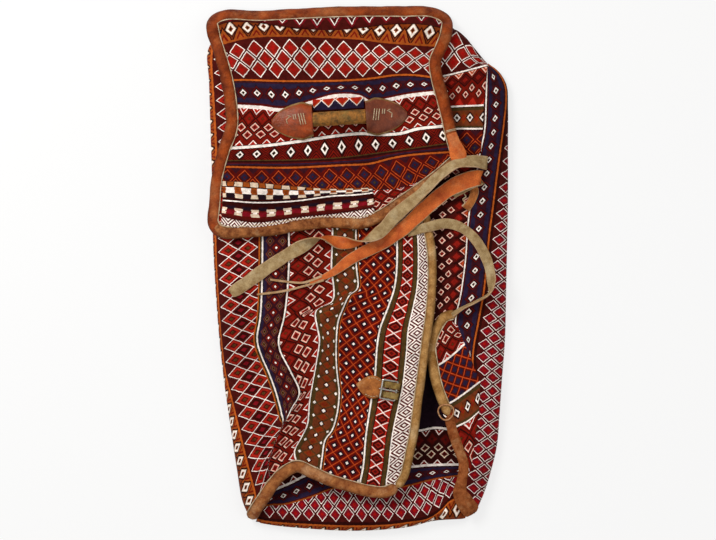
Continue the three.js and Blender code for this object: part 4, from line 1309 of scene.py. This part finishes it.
# Upper end panel: lines from its seam down to its rim, each from left to right
UPPER_LINES = [
    UPPER_BASE_SEAM,
    [
        (213.5, 27), (226, 22.5), (250, 22), (282, 26), (305, 29), (330, 30.4), (350, 29), (375, 25.5),
        (400, 23.6), (430, 26), (446.5, 30),
    ],
    [
        (217.5, 46), (225, 44), (250, 38), (282, 36.3), (320, 37.5), (360, 39.6), (380, 42.4), (410, 45),
        (441.5, 47),
    ],
    [(228, 82), (237, 80.8), (285, 82), (340, 81.4), (370, 79.4), (395, 76), (415, 76), (437, 79)],
    [
        (231.5, 106), (260, 107.5), (285, 110), (313, 102), (336, 96), (360, 97), (370, 102), (382, 101),
        (407, 96), (440, 92),
    ],
    [
        (225, 149), (266, 146), (298, 142), (331, 137), (360, 134), (380, 135), (400, 134), (417, 129.5),
        (449, 126),
    ],
    [(222, 161), (300, 160), (340, 158), (388, 152), (453, 143)],
    [(220, 167), (288, 168), (345, 165.5), (370, 164), (390, 159), (410, 155.5), (456, 152)],
    [
        (217.5, 192), (250, 194), (290, 194), (330, 192), (370, 190.5), (400, 188), (430, 176),
        (458, 156.5),
    ],
    UPPER_RIM,
]
UPPER_BANDS = [
    ("notches", 4, "spread"), ("top_rust", 7, "from_end"), ("lozenges", 18, "spread"),
    ("stars", 12, "spread"), ("gems", 18, "spread"), ("eyes", 9, "spread"), ("shadow", 5, "spread"),
    ("trellis", 14, "from_start"), ("gems", 14, "spread"),
]
UPPER_STRIPES = [
    [("black", 1.0)], [("ember", 4.0)], [("orange", 3.6), ("black", 1.0)],
    [("deep", 2.0), ("cream", 7.0)], [("black", 1.4), ("cream", 5.6), ("black", 1.4)],
    [("olive", 2.0)], [("orange", 3.6)], [("black", 1.0)],
]
names = []
upper_cloth = weave(UPPER_LINES, UPPER_BANDS, UPPER_STRIPES, UPPER_ROWS, end_height, names)

# Tie-dyed patch that lies on the upper end panel, and the band between it and the rim
PATCH_LINES = [
    [(223, 181), (259, 183), (290, 186), (330, 189), (372, 188)],
    [(223.5, 200.5), (259, 203), (298, 201), (331, 196.5), (357, 195), (373, 193)],
    [(222, 217), (255, 222.5), (298, 217.5), (342, 213), (374, 208)],
]
PATCH_STRIPES = [[("black", 1.2), ("cream", 2.6), ("black", 1.2)]]
PATCH_BANDS = [("checks", 12, "spread"), ("dashes", 10, "spread")]
patch = weave(PATCH_LINES, PATCH_BANDS, PATCH_STRIPES, PATCH_ROWS, end_height, names, lift=3.0)
RIM_LINES = [PATCH_LINES[2], [(222, 226), (255, 230), (298, 226), (342, 221), (374, 218)]]
RIM_BANDS = [("nested", 5, "from_start")]
rim_band = weave(RIM_LINES, RIM_BANDS, [], PATCH_ROWS, end_height, names, lift=1.8)

# Corners of the upper end
LEFT_GUSSET = [(215, 21.5), (215, 27), (215, 32), (217, 40), (220, 50)]
RIGHT_GUSSET = [(444.5, 20.5), (445, 27), (444.5, 33), (442, 42), (439, 50)]
GUSSET_ROWS = 24
GUSSET_COLUMNS = 8


def gusset(pixels):
    """Cloth that hangs from a side of the upper end panel and closes the corner of the fold."""
    flat = evenly(plan(pixels), GUSSET_ROWS)[0]
    shares = np.linspace(0, 1, GUSSET_COLUMNS + 1)
    foot = SOLID_CLOTH / 2
    level = foot + shares * (end_height(flat) - foot)[:, None]
    points = np.concatenate([np.repeat(flat[:, None], GUSSET_COLUMNS + 1, 1), level[..., None]], -1)
    along = np.repeat((length_along(flat) * MM)[:, None], GUSSET_COLUMNS, 1)
    return thick_grid(points, [names.index("shadow")] * GUSSET_COLUMNS, along, shares[:-1], shares[1:])


upper_parts = [upper_cloth, patch, rim_band, gusset(LEFT_GUSSET), gusset(RIGHT_GUSSET)]
upper_end = cloth_piece("upper_end_cloth", upper_parts, "upper_end_panel")

# Lower end panel: lines from its rim down to its fold
LOWER_LINES = [
    LOWER_RIM,
    [(252, 452), (300, 440), (350, 434), (418, 432), (436, 429), (452, 431), (474, 436)],
    [
        (256, 500), (277, 490.5), (290, 485), (306, 477), (330, 470), (370, 468), (409, 468.7),
        (429, 467), (472, 466),
    ],
    [
        (256, 510), (270, 506), (284, 505.5), (312, 498), (330, 491), (350, 487), (375, 489),
        (401, 488.7), (436, 480.6), (470, 476),
    ],
    [
        (256, 521.5), (277, 523.5), (310, 525.5), (350, 527), (388, 526), (412, 523), (425, 521),
        (434, 517), (443, 510), (450, 503), (468, 496),
    ],
    LOWER_FOLD,
]
# The first band, in the gap under the walls, is plain night wool: painted shade of that gap
LOWER_BANDS = [
    ("night", 20, "spread"), ("painted_shade_gems", 20, "spread"), ("stars", 14, "spread"),
    ("edge_lozenges", 18, "from_end"), ("rust", 6, "from_start"),
]
LOWER_STRIPES = [
    [("black", 1.4), ("cream", 4.4), ("black", 1.4)], [("cream", 4.8), ("black", 1.4)],
    [("ember", 3.0)], [("orange", 4.0)],
]
names = []
lower_cloth = weave(LOWER_LINES, LOWER_BANDS, LOWER_STRIPES, LOWER_ROWS, lower_height, names)
lower_end = cloth_piece("lower_end_cloth", [lower_cloth], "lower_end_panel")

# Right wall: the side band and its two mitred corners
MITRE_LINE = [
    (487.5, 64), (486.5, 100), (485, 130), (481, 151), (476, 180), (471, 204), (468, 229), (466, 260),
    (462, 290), (456, 326), (463, 344), (469, 358), (472, 381), (470, 400), (467, 430), (465, 452),
    (462, 472), (461, 490), (470, 511),
]
SIDE_LINE = [
    (488.3, 63.3), (498.5, 71.8), (505.2, 85), (506, 100), (504, 120), (500, 150), (496, 181), (493, 205),
    (489, 235), (484, 290), (479, 318), (472.5, 356), (474, 381), (472, 400), (469, 430), (467, 452),
    (464, 472), (463, 490), (471.5, 512.5),
]
SIDE_FOLD = [(488.5, 62.5), (499, 70.5), *RIGHT_SIDE_FOLD[12::-1]]
SIDE_TUCK = 1.6
SIDE_LINES = [SIDE_FOLD, SIDE_LINE, MITRE_LINE, [(x - SIDE_TUCK, y) for x, y in MITRE_LINE]]
SIDE_BANDS = [("edge_lozenges", 18, "from_end"), ("stars", 12, "spread"), ("maroon", 1, "spread")]
SIDE_STRIPES = [[("orange", 3.4), ("black", 1.0)], [("black", 1.2), ("cream", 2.6)]]
names = []
side_cloth = weave(
    SIDE_LINES, SIDE_BANDS, SIDE_STRIPES, WALL_ROWS, right_height, names, lift=0.4, hem=HEM_LEVEL,
)
FRONT_RIGHT = MITRE_LINE[3:10]
FRONT_LEFT = [(407, 146), (409, 200), (412, 250), (416, 298), (436, 330)]
FRONT_BANDS = [("sparse_gems", 30, "from_start")]
front_lines = [FRONT_RIGHT, FRONT_LEFT]
front_cloth = weave(front_lines, FRONT_BANDS, [], FRONT_ROWS, right_height, names, lift=-0.6)
CORNER_LIFT = 0.8
UPPER_CORNER = [
    [(404, 48), (444, 30), (455, 28), (465, 35), (475, 47), (487, 62)],
    [(404, 82), (444, 76), (488, 65)],
    [(405, 112), (450, 107), (484, 105.5)],
    [(406, 131), (453, 129), (483, 129)],
    [(407, 160), (457, 158), (481, 153)],
]
UPPER_CORNER_BANDS = [
    ("lozenges", 20, "spread"), ("corner_gems", 14, "spread"), ("buds", 10, "spread"),
    ("trellis", 12, "from_start"),
]
CORNER_WHITE = [("cream", 3.4), ("black", 1.4)]
upper_corner = weave(
    UPPER_CORNER, UPPER_CORNER_BANDS, [CORNER_WHITE] * 3, UPPER_CORNER_ROWS, right_height, names,
    lift=CORNER_LIFT, hem=HEM_LEVEL,
)
LOWER_CORNER = [
    [(437, 326), (447, 319), (458, 326)],
    [(432, 368), (441, 364), (453, 355), (465, 344)],
    [(440, 407), (451, 403), (466, 393), (480.5, 382)],
    [(450, 430), (459, 426), (469, 421), (479, 412)],
    [(462, 470), (466, 471), (471, 472)],
]
LOWER_CORNER_BANDS = [
    ("gems", 16, "turned"), ("fine_trellis", 16, "spread"), ("buds", 12, "spread"), ("gems", 14, "spread"),
]
LOWER_CORNER_STRIPES = [[("cream", 4.0), ("black", 1.0)], [("cream", 3.6), ("black", 1.4)], CORNER_WHITE]
lower_corner = weave(
    LOWER_CORNER, LOWER_CORNER_BANDS, LOWER_CORNER_STRIPES, LOWER_CORNER_ROWS, right_height, names,
    lift=CORNER_LIFT,
)
right_parts = [side_cloth, front_cloth, upper_corner, lower_corner]
right_wall = cloth_piece("right_wall_cloth", right_parts, "right_wall")

# Base: plain dark stripes, under the bag
BASE_DYES = ["dark", "wine", "maroon", "navy", "wine", "dark", "moss", "maroon", "wine", "navy", "dark"]
BASE_BANDS = [(dye, 4, "spread") for dye in BASE_DYES]
BASE_SPOTS = 30
base_left, base_right = evenly(BASE_LEFT, BASE_SPOTS)[0], evenly(BASE_RIGHT, BASE_SPOTS)[0]
base_lines = []
for line in range(len(BASE_DYES) + 1):
    share = line / len(BASE_DYES)
    base_lines.append([tuple(spot) for spot in base_left * (1 - share) + base_right * share])
names = []
base_cloth = weave(base_lines, BASE_BANDS, [], BASE_ROWS, base_height, names)
base_panel = cloth_piece("base_cloth", [base_cloth], "base_panel")

# Bindings
SEAM_ROUND = [(228, 232.3), (219, 230.5), (213.8, 223), *UPPER_SEAM[1:]]
seam_parts, seam_hides = binding(SEAM_ROUND, end_height, SEAM_HIDE, 0.4)
SEAM_END = [
    (451, 134, end_height, ON_RIM - 1, 0), (454, 143, end_height, ON_RIM - 1, 0),
    (457.5, 154, end_height, ON_RIM - 1, 0), (459, 161, end_height, ON_RIM - 2, 0),
]
SEAM_END_WIDER = [0.75, 0.9, 1.3, 1.45]
seam_end = strap_part(SEAM_END, STRAP_WIDTH, seed=1.4, curl=-3.0, front=2, back=2, wider=SEAM_END_WIDER)
seam_parts.append(in_slot(seam_end, 2))

# Threads wrapped round the seam's end in pairs: places, half span, half gap, depth, radius and arch
SEAM_WRAPS = [(450.2, 131), (452, 139)]
WRAP_SPAN = (12, 3)
WRAP_GAP = 1.2
WRAP_DEPTH = 5
WRAP_RADIUS = 0.9
WRAP_ARCH = 6.5
for wrap in plan(SEAM_WRAPS):
    level = end_height(wrap[None])[0] + BINDING_THICK / 2 - WRAP_DEPTH
    for shift in (-WRAP_GAP, WRAP_GAP):
        start = (wrap[0] - WRAP_SPAN[0], wrap[1] - WRAP_SPAN[1] + shift, level)
        end = (wrap[0] + WRAP_SPAN[0], wrap[1] + WRAP_SPAN[1] + shift, level)
        seam_parts.append(in_slot(bead(start, end, WRAP_RADIUS, arch=WRAP_ARCH), 1))
hide_piece("upper_seam_binding", seam_parts, [*seam_hides, STRAP_FRONT])
bind("upper_rim_binding", UPPER_RIM, end_height, RIM_HIDE, 1.3, inner_side=-1)
bind("left_rim_binding", LEFT_RIM[:-1], left_height, LEFT_RIM_HIDE, 2.1, inner_side=-1, wide=19.0)
bind("lower_left_seam_binding", LOWER_LEFT_SEAM, left_height, LOWER_SEAM_HIDE, 3.2, inner_side=-1)
bind("right_rim_binding", RIGHT_RIM, right_height, LEFT_RIM_HIDE, 4.7)

# Right seam: plain hide above and napped hide below, on one strip
RIGHT_SEAM = {"inner_side": -1, "wide": 22.0}
tan_parts, tan_hides = binding(LOWER_RIGHT_SEAM[:8], right_height, LEFT_RIM_HIDE, 5.5, **RIGHT_SEAM)
napped_parts, _ = binding(LOWER_RIGHT_SEAM[7:], right_height, NAPPED_HIDE, 6.6, flare=1.7, **RIGHT_SEAM)
right_seam_parts = [*tan_parts, in_slot(napped_parts[0], 2)]
hide_piece("lower_right_seam_binding", right_seam_parts, [*tan_hides, NAPPED_HIDE])
RIM_LIFT = BINDING_THICK / 2 - SOLID_CLOTH / 2
bind("lower_rim_binding", LOWER_RIM, lower_height, RIM_HIDE, 6.1, lift=RIM_LIFT)

# Straps: place in the picture, layer, lift and roll
HIDES = [STRAP_FRONT, STRAP_BACK, STRAP_EDGE]
UPPER_STRAP = [
    (487, 163, right_height, ON_WALL + 1.5, 0), (472, 162, right_height, ON_WALL + 24, 25),
    (455, 165, end_height, ON_RIM + 5, 42), (438, 177, end_height, ON_RIM + 5, 45),
    (418, 196, end_height, ON_RIM + 3, 34), (395, 216, end_height, ON_RIM, 0),
    (380, 232, end_height, ON_RIM, 0), (362, 241, left_height, ON_WALL + STRAP_WIDTH * 0.6, 90),
    (342, 243, left_height, ON_WALL + 3, 180), (320, 238, left_height, ON_WALL + STRAP_WIDTH * 0.6, 270),
    (300, 247.6, left_height, ON_WALL + 3, 360), (270, 266, left_height, ON_WALL + 1, 360),
    (245, 284, left_height, ON_WALL + 1, 360), (231, 293.4, left_height, ON_WALL + 3, 360),
]
part = strap_part(UPPER_STRAP, STRAP_WIDTH, seed=0.7, front=1, back=0)
hide_piece("upper_strap", [part], HIDES)

DOUBLED = STRAP_THICK + 4 * GAP
LOWER_STRAP = [
    (452, 193, right_height, ON_WALL + DOUBLED, 0), (468, 184, right_height, ON_WALL + DOUBLED, 0),
    (481, 177.6, right_height, ON_WALL + DOUBLED + 4, 0),
    (469, 180, right_height, ON_WALL + DOUBLED + 9, 0),
    (450, 188.5, right_height, ON_WALL + DOUBLED + 10, 0), (425, 208.5, left_height, ON_RIM + 1, 0),
    (402, 229.5, left_height, ON_RIM + 1, 0), (380, 244, left_height, ON_WALL + 1.5, 0),
    (352, 258.5, left_height, ON_WALL + 1, 0), (332, 273, left_height, ON_WALL + 1, 0),
    (310, 283, left_height, ON_WALL + 1, 0),
]
FIRST_TAIL = [
    (322, 276, left_height, ON_WALL + 1.4, 0), (304, 282.5, left_height, ON_WALL + 1.4, 0),
    (286, 281.5, left_height, ON_WALL + 0.5, 0), (270, 279.5, left_height, ON_WALL, 0),
]
SECOND_TAIL = [
    (324, 280, left_height, ON_WALL + 1, 0), (304, 286, left_height, ON_WALL + 1, 0),
    (284, 291, left_height, ON_WALL + 0.5, 0), (257, 294.5, left_height, ON_WALL, 0),
]
WIDER_FOLD = [0.9, 1.0, 1.15, 1.3, 1.25, 1.15, 1.15, 1.0, 0.92, 0.56, 0.2]
strap = strap_part(LOWER_STRAP, STRAP_WIDTH, seed=2.2, front=1, back=0, wider=WIDER_FOLD)
first_tail = strap_part(FIRST_TAIL, TAIL_WIDTH, seed=1.1, curl=0.3, front=2, back=2)
second_tail = strap_part(SECOND_TAIL, TAIL_WIDTH, seed=1.9, curl=0.3, front=2, back=2)
hide_piece("lower_strap", [strap, first_tail, second_tail], HIDES)

RIGHT_STRAP = [
    (407, 232, left_height, ON_WALL + 0.7, 0), (416, 230, left_height, ON_WALL + 0.7, 0),
    (428, 227, left_height, ON_RIM + 1, 0), (447, 223.5, right_height, ON_WALL + 6, 0),
    (463, 228.5, right_height, ON_WALL + 2, 0), (476.5, 241, right_height, ON_WALL + 1.5, 0),
    (487, 260, right_height, ON_WALL + 1.5, 0), (491.5, 280, right_height, ON_WALL + 6, 25),
    (490, 293, right_height, ON_WALL + THIN_STRAP_WIDTH / 2, 84),
    (476, 302, right_height, ON_WALL + THIN_STRAP_WIDTH / 2, 82),
    (463, 308, right_height, ON_WALL + THIN_STRAP_WIDTH / 2, 78),
    (452, 315, right_height, ON_RIM + 4, 60),
]
part = strap_part(RIGHT_STRAP, THIN_STRAP_WIDTH, seed=3.4, front=1, back=2)
hide_piece("right_strap", [part], HIDES)

STRAP_TAB = [
    (466, 209, right_height, ON_WALL, 0), (472, 200, right_height, ON_WALL, 0),
    (474.5, 191, right_height, ON_WALL, 0), (472, 184, right_height, ON_WALL, 0),
]
STRAP_TAB_WIDTH = STRAP_WIDTH * 0.66
KNOT = [(464, 193), (466, 197), (463, 199), (465, 203), (462, 206)]
KNOT_STEPS = 16
KNOT_RADIUS = 1.3
KNOT_LIFT = 1.2
knot_flat = evenly(plan(KNOT), KNOT_STEPS)[0]
knot_level = right_height(knot_flat) + CLOTH / 2 + KNOT_LIFT
knot = tube(np.concatenate([knot_flat, knot_level[:, None]], 1), KNOT_RADIUS)
tab_parts = [strap_part(STRAP_TAB, STRAP_TAB_WIDTH, seed=4.2), in_slot(knot, 3)]
hide_piece("strap_tab", tab_parts, [TAB_HIDE, STRAP_BACK, STRAP_EDGE, LACE])

# Thong ring on the right seam, bent a little out of round and out of its plane
RING_PLACE = (446, 412)
RING_STEPS = 60
RING_SIDES = 8
RING_BEND = (0.05, 0.6)
ring_place = plan([RING_PLACE])
ring_level = right_height(ring_place)[0] + BINDING_THICK / 2 + GAP + THONG_THICK / 2
turns = ring_angles(RING_STEPS)
ring_radius = (THONG_RING - THONG_THICK) / 2
ring_points, ring_faces, ring_corners = [], [], []
for step, turn in enumerate(turns):
    reach = ring_radius * (1 + RING_BEND[0] * np.sin(3 * turn))
    for corner, angle in enumerate(ring_angles(RING_SIDES)):
        out = reach + THONG_THICK / 2 * np.cos(angle)
        level = ring_level + THONG_THICK / 2 * np.sin(angle) + RING_BEND[1] * np.sin(2 * turn)
        spot = ring_place[0] + out * np.array([np.cos(turn), np.sin(turn)])
        ring_points.append((*spot, level))
        after, beside = (step + 1) % len(turns), (corner + 1) % RING_SIDES
        near, far = step * RING_SIDES, after * RING_SIDES
        ring_faces.append((near + corner, far + corner, far + beside, near + beside))
        ring_corners.extend([(turn, 0)] * 4)
ring_part = (ring_points, ring_faces, ring_corners, [0] * len(ring_faces))
hide_piece("thong_ring", [ring_part], [THONG_HIDE])

# Handle
handle_origin = np.array([*HANDLE_PLACE, END_LEVEL + SOLID_CLOTH / 2])


def turned(angle):
    """A turn about the vertical, by an angle in radians."""
    return np.array([[np.cos(angle), -np.sin(angle), 0], [np.sin(angle), np.cos(angle), 0], [0, 0, 1]])


def leaned(parts):
    """Parts of the handle turned a little about its middle, as it was sewn on."""
    lean = turned(np.radians(HANDLE_LEAN))
    return [((part[0] - handle_origin) @ lean.T + handle_origin, *part[1:]) for part in parts]


GRIP_SIDES = 28
GRIP_STEPS = 48
GRIP_LUMPS = (0.955, 0.045)
grip_along = np.linspace(-0.5, 0.5, GRIP_STEPS)
grip_arch = GRIP_ARCH * (1 - 4 * grip_along ** 2)
grip_level = FINGER_GAP + GRIP_DIAMETER / 2 + grip_arch
grip_path = np.stack([grip_along * GRIP_LENGTH, 0 * grip_along, grip_level], 1)
angles = ring_angles(GRIP_SIDES)
lump = unevenness((grip_along * GRIP_LENGTH)[:, None] * 1.3, angles[None], 2.6)
grip_ring = GRIP_DIAMETER / 2 * (GRIP_LUMPS[0] + GRIP_LUMPS[1] * lump)
sections = np.stack([np.cos(angles) * grip_ring, np.sin(angles) * grip_ring], -1)
across = np.tile((0.0, -1.0, 0.0), (GRIP_STEPS, 1))
up = np.tile((0.0, 0.0, 1.0), (GRIP_STEPS, 1))
grip_part = sweep(grip_path + handle_origin, across, up, sections, [0] * GRIP_SIDES)
grip = hide_piece("handle_grip", leaned([grip_part]), [GRIP_HIDE])

# Pads: sides, steps, the sole below the widest line, the toe's curve and tip, the heel and the welt
PAD_SIDES = 36
PAD_STEPS = 44
PAD_SOLE = 0.2
PAD_TOE = 0.75
PAD_TIP = 0.16
PAD_NARROWS = 0.72
PAD_STEEP = 2.4
WELT_SPREAD = 1.09
WIDE_LUMPS = (0.985, 0.015)
TALL_LUMPS = (0.97, 0.03)
# Lacing threads of a pad, between shares of its length and of its half width
THREAD_STEPS = 6
THREAD_RADIUS = 1.1
LACING = [
    ((0.66, -0.42), (0.71, 0.24)), ((0.72, -0.42), (0.77, 0.24)), ((0.78, -0.42), (0.83, 0.24)),
    ((0.53, -0.42), (0.55, -0.12)), ((0.58, -0.42), (0.6, -0.12)), ((0.4, -0.44), (0.48, -0.3)),
    ((0.36, -0.16), (0.44, -0.3)), ((0.36, -0.16), (0.38, 0.14)),
]


def pad_parts(turn):
    """A sewn shoe at one end of the grip: a swollen upper, a flat rim round its toe and a laced heel."""
    heel = FINGER_GAP + GRIP_DIAMETER + 1
    share = np.linspace(0, 1, PAD_STEPS)
    point = np.maximum(np.sin(np.pi / 2 * share ** PAD_TOE) ** PAD_TOE, PAD_TIP)
    width = point * (PAD_WIDTH + (PAD_HEEL - PAD_WIDTH) * ease(share, PAD_NARROWS, 1.0))
    height = PAD_EDGE + (heel - PAD_EDGE) * share ** PAD_STEEP
    angles = ring_angles(PAD_SIDES)
    rise = np.maximum(np.sin(angles), -PAD_SOLE)
    rise = (rise + PAD_SOLE) / (1 + PAD_SOLE)
    lump = unevenness((share * PAD_LENGTH)[:, None], angles[None], 1.7 + turn)
    welt = np.where(rise < PAD_WELT, WELT_SPREAD, 1.0)
    wide = width[:, None] / 2 * (np.cos(angles) * welt)[None] * (WIDE_LUMPS[0] + WIDE_LUMPS[1] * lump)
    tall = height[:, None] * rise[None] * (TALL_LUMPS[0] + TALL_LUMPS[1] * lump)
    slots = np.where(np.minimum(rise, np.roll(rise, -1)) < PAD_WELT, 1, 0)
    back = share * PAD_LENGTH - PAD_LENGTH - GRIP_LENGTH / 2
    path = np.stack([back - GAP, 0 * share, 0 * share + GAP], 1)
    spin = turned(turn)
    across = np.tile((0.0, -1.0, 0.0), (PAD_STEPS, 1)) @ spin.T
    up = np.tile((0.0, 0.0, 1.0), (PAD_STEPS, 1))
    shoe = sweep(path @ spin.T + handle_origin, across, up, np.stack([wide, tall], -1), slots)
    parts = [shoe]

    def on_pad(along, side):
        half = np.interp(along, share, width) / 2
        top = np.interp(along, share, height)
        spot = np.array([np.interp(along, share, back), -side * half * np.cos(turn), GAP])
        spot[2] += top * (np.sqrt(max(1 - side * side, 0)) + PAD_SOLE) / (1 + PAD_SOLE)
        return spot @ spin.T + handle_origin + (0, 0, 0.5)

    for start, end in np.array(LACING):
        spots = [on_pad(*(start + (end - start) * step)) for step in np.linspace(0, 1, THREAD_STEPS + 1)]
        for first, last in zip(spots, spots[1:]):
            parts.append(in_slot(bead(first, last, THREAD_RADIUS), 2))
    return parts


PADS = [("handle_left_pad", 0.0, LEFT_PAD_HIDE), ("handle_right_pad", np.pi, RIGHT_PAD_HIDE)]
for name, turn, hide in PADS:
    hides = [hide, PAD_RIM_HIDE, LACE]
    pad = hide_piece(name, leaned(pad_parts(turn)), hides)

# Woven strip beside the grip
strip_box = np.array(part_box("handle_strip")) / MM
STRIP_ROWS = 60
STRIP_COLUMNS = 8
STRIP_THICK = 1.6
strip_along = np.linspace(strip_box[0, 0], strip_box[1, 0], STRIP_ROWS)
strip_across = np.linspace(strip_box[1, 1], strip_box[0, 1], STRIP_COLUMNS + 1)
strip_points = np.zeros((STRIP_ROWS, STRIP_COLUMNS + 1, 3))
strip_points[..., 0] = strip_along[:, None]
strip_points[..., 1] = strip_across[None]
strip_points[..., 2] = strip_box[:, 2].mean() + 0.4 * np.sin(strip_along[:, None] / 14)
strip_u = np.repeat((strip_along * MM)[:, None], STRIP_COLUMNS, 1)
strip_v = np.linspace(0, 1, STRIP_COLUMNS + 1)
strip_part = thick_grid(
    strip_points, [0] * STRIP_COLUMNS, strip_u, strip_v[:-1], strip_v[1:], STRIP_THICK,
)
names = ["zigzag"]
strip = cloth_piece("handle_strip_cloth", leaned([strip_part]), "handle_strip")

# Buckle
buckle_spin = turned(np.radians(BUCKLE_TURN))
buckle_origin = np.array([*BUCKLE_PLACE, LEFT_LEVEL + SOLID_CLOTH / 2 + GAP])


def on_buckle(points):
    """Places on the bag from places on the buckle, whose bar is at 0 along."""
    return np.asarray(points, float) @ buckle_spin.T + buckle_origin


def iron_piece(name, parts, body):
    """An iron piece of the buckle that stands for its node and moves with its own body."""
    build(name + "_iron", parts, [STEEL], body=body, stands_for=[name])


LOOP_WIDTH = FRAME_WIDTH - 2 * FRAME_BAR - 4 * GAP
LEAF_END = FRAME_LENGTH - FRAME_BAR
EYE = FRAME_BAR * np.sqrt(2) / 2 + GAP
SLOT = 7.0
# Steps along the leaf of the tab and round its loops, the leaf's swell and tip, and its stitches
LEAF_STEPS = 40
LOOP_STEPS = 14
LEAF_SWELL = 0.8
LEAF_TIP = 0.8
TAB_STITCHES = (-58, -36, 5)
STITCH_RADIUS = 0.7
STITCH_INSET = 4


def strip_sheet(line, half_widths, offset=0.0, columns=8, thick=TAB_THICK):
    """A leather strip that follows a side view, with a half width at each point."""
    line = np.array(line, float)
    half = np.array(half_widths, float)
    shares = np.linspace(-1, 1, columns + 1)
    points = np.zeros((len(line), columns + 1, 3))
    points[..., 0] = line[:, :1]
    points[..., 2] = line[:, 1:]
    points[..., 1] = offset + half[:, None] * shares[None]
    along = np.repeat((length_along(line) * MM)[:, None], columns, 1)
    low, high = shares[:-1] / 2 + 0.5, shares[1:] / 2 + 0.5
    return thick_grid(on_buckle(points), [0] * columns, along, low, high, thick)


leaf_along = np.linspace(-TAB_LENGTH, -LEAF_END + 0.5, LEAF_STEPS)
leaf_share = (leaf_along + TAB_LENGTH) / (TAB_LENGTH - LEAF_END)
leaf_half = 2 * leaf_share * (1 - leaf_share) * TAB_WIDTH * LEAF_SWELL + leaf_share ** 2 * LOOP_WIDTH / 2
leaf_half = np.maximum(leaf_half, LEAF_TIP)
leaf_line = np.stack([leaf_along, TAB_THICK / 2 + 0.1 + 0.5 * np.sin(leaf_along / 9)], 1)
tab_parts = [strip_sheet(leaf_line[::-1], leaf_half[::-1])]
loop_turn = np.linspace(-np.pi / 2, np.pi / 2, LOOP_STEPS)
loop_radius = EYE + TAB_THICK / 2
loop_line = [(x, TAB_THICK / 2) for x in np.linspace(-LEAF_END - 2, -1, 10)]
loop_line += [(loop_radius * np.cos(a), BAR_HEIGHT + loop_radius * np.sin(a)) for a in loop_turn]
loop_line += [
    (-4, BAR_HEIGHT + loop_radius - 0.2), (-8, BAR_HEIGHT + 1.8), (-11, TAB_THICK * 1.5 + 0.6),
    (-16, TAB_THICK * 1.5), (-24, TAB_THICK * 1.5),
]
side_half = (LOOP_WIDTH - SLOT) / 4
loop_halves = [side_half] * len(loop_line)
for side in (-1, 1):
    offset = side * (SLOT / 2 + side_half)
    loop = strip_sheet(loop_line, loop_halves, offset=offset, columns=6, thick=TAB_THICK - 0.2)
    tab_parts.append(in_slot(loop, 2))
level = TAB_THICK + 0.5
for along in np.linspace(*TAB_STITCHES):
    half = np.interp(along, leaf_along, leaf_half) - STITCH_INSET
    for side in (-1, 1):
        ends = [(along - 2, side * half, level), (along + 2, side * (half - 0.3), level)]
        tab_parts.append(in_slot(bead(*on_buckle(ends), STITCH_RADIUS, arch=0.4), 1))
hide_piece("buckle_tab", tab_parts, [TAB_HIDE, LACE, LOOP_HIDE])


# Buckle's frame: radius and steps of its corners, and the distance of points along its sides
FRAME_CORNER = 2.5
CORNER_STEPS = 6
FRAME_STEP = 3


def rounded_frame(back, front, half, radius):
    """Middle line of the buckle's frame, round at its corners."""
    corners = [
        (front - radius, half - radius, 0), (back + radius, half - radius, 1),
        (back + radius, radius - half, 2), (front - radius, radius - half, 3),
    ]
    path = []
    for x, y, quarter in corners:
        for a in np.linspace(0, np.pi / 2, CORNER_STEPS):
            angle = a + quarter * np.pi / 2
            path.append((x + radius * np.cos(angle), y + radius * np.sin(angle), BAR_HEIGHT))
    full = []
    for first, last in zip(path, path[1:] + path[:1]):
        gap = np.linalg.norm(np.subtract(last, first))
        count = max(int(gap / FRAME_STEP), 1)
        full.extend([tuple(np.array(first) + (np.array(last) - first) * k / count) for k in range(count)])
    return full


frame_half = FRAME_WIDTH / 2 - FRAME_BAR / 2
frame_path = rounded_frame(-FRAME_LENGTH + FRAME_BAR, 0.0, frame_half, FRAME_CORNER)
frame_part = tube(on_buckle(frame_path), FRAME_BAR / 2 * 0.96, closed=True)
iron_piece("buckle_frame", [frame_part], "frame")

# Prong: an eye round the bar and a pin that thins towards its tip
EYE_STEPS = 24
EYE_WIRE = 1.0
eye_radius = EYE + EYE_WIRE
eye_path = [
    (eye_radius * np.cos(a), 0.0, BAR_HEIGHT + eye_radius * np.sin(a)) for a in ring_angles(EYE_STEPS)
]
prong_level = BAR_HEIGHT + FRAME_BAR / 2 + GAP + PRONG_DIAMETER / 2
PRONG_SHARES = [0.7, *[0.98] * 14, 0.95, 0.9, 0.82, 0.7, 0.35]
prong_along = np.linspace(-1.5, -FRAME_LENGTH - 1, len(PRONG_SHARES))
prong_line = [(x, 0.0, prong_level) for x in prong_along]
prong_radius = PRONG_DIAMETER / 2 * np.array(PRONG_SHARES)
prong_parts = [
    tube(on_buckle(eye_path), EYE_WIRE, closed=True), tube(on_buckle(prong_line), prong_radius),
]
iron_piece("buckle_prong", prong_parts, "prong")
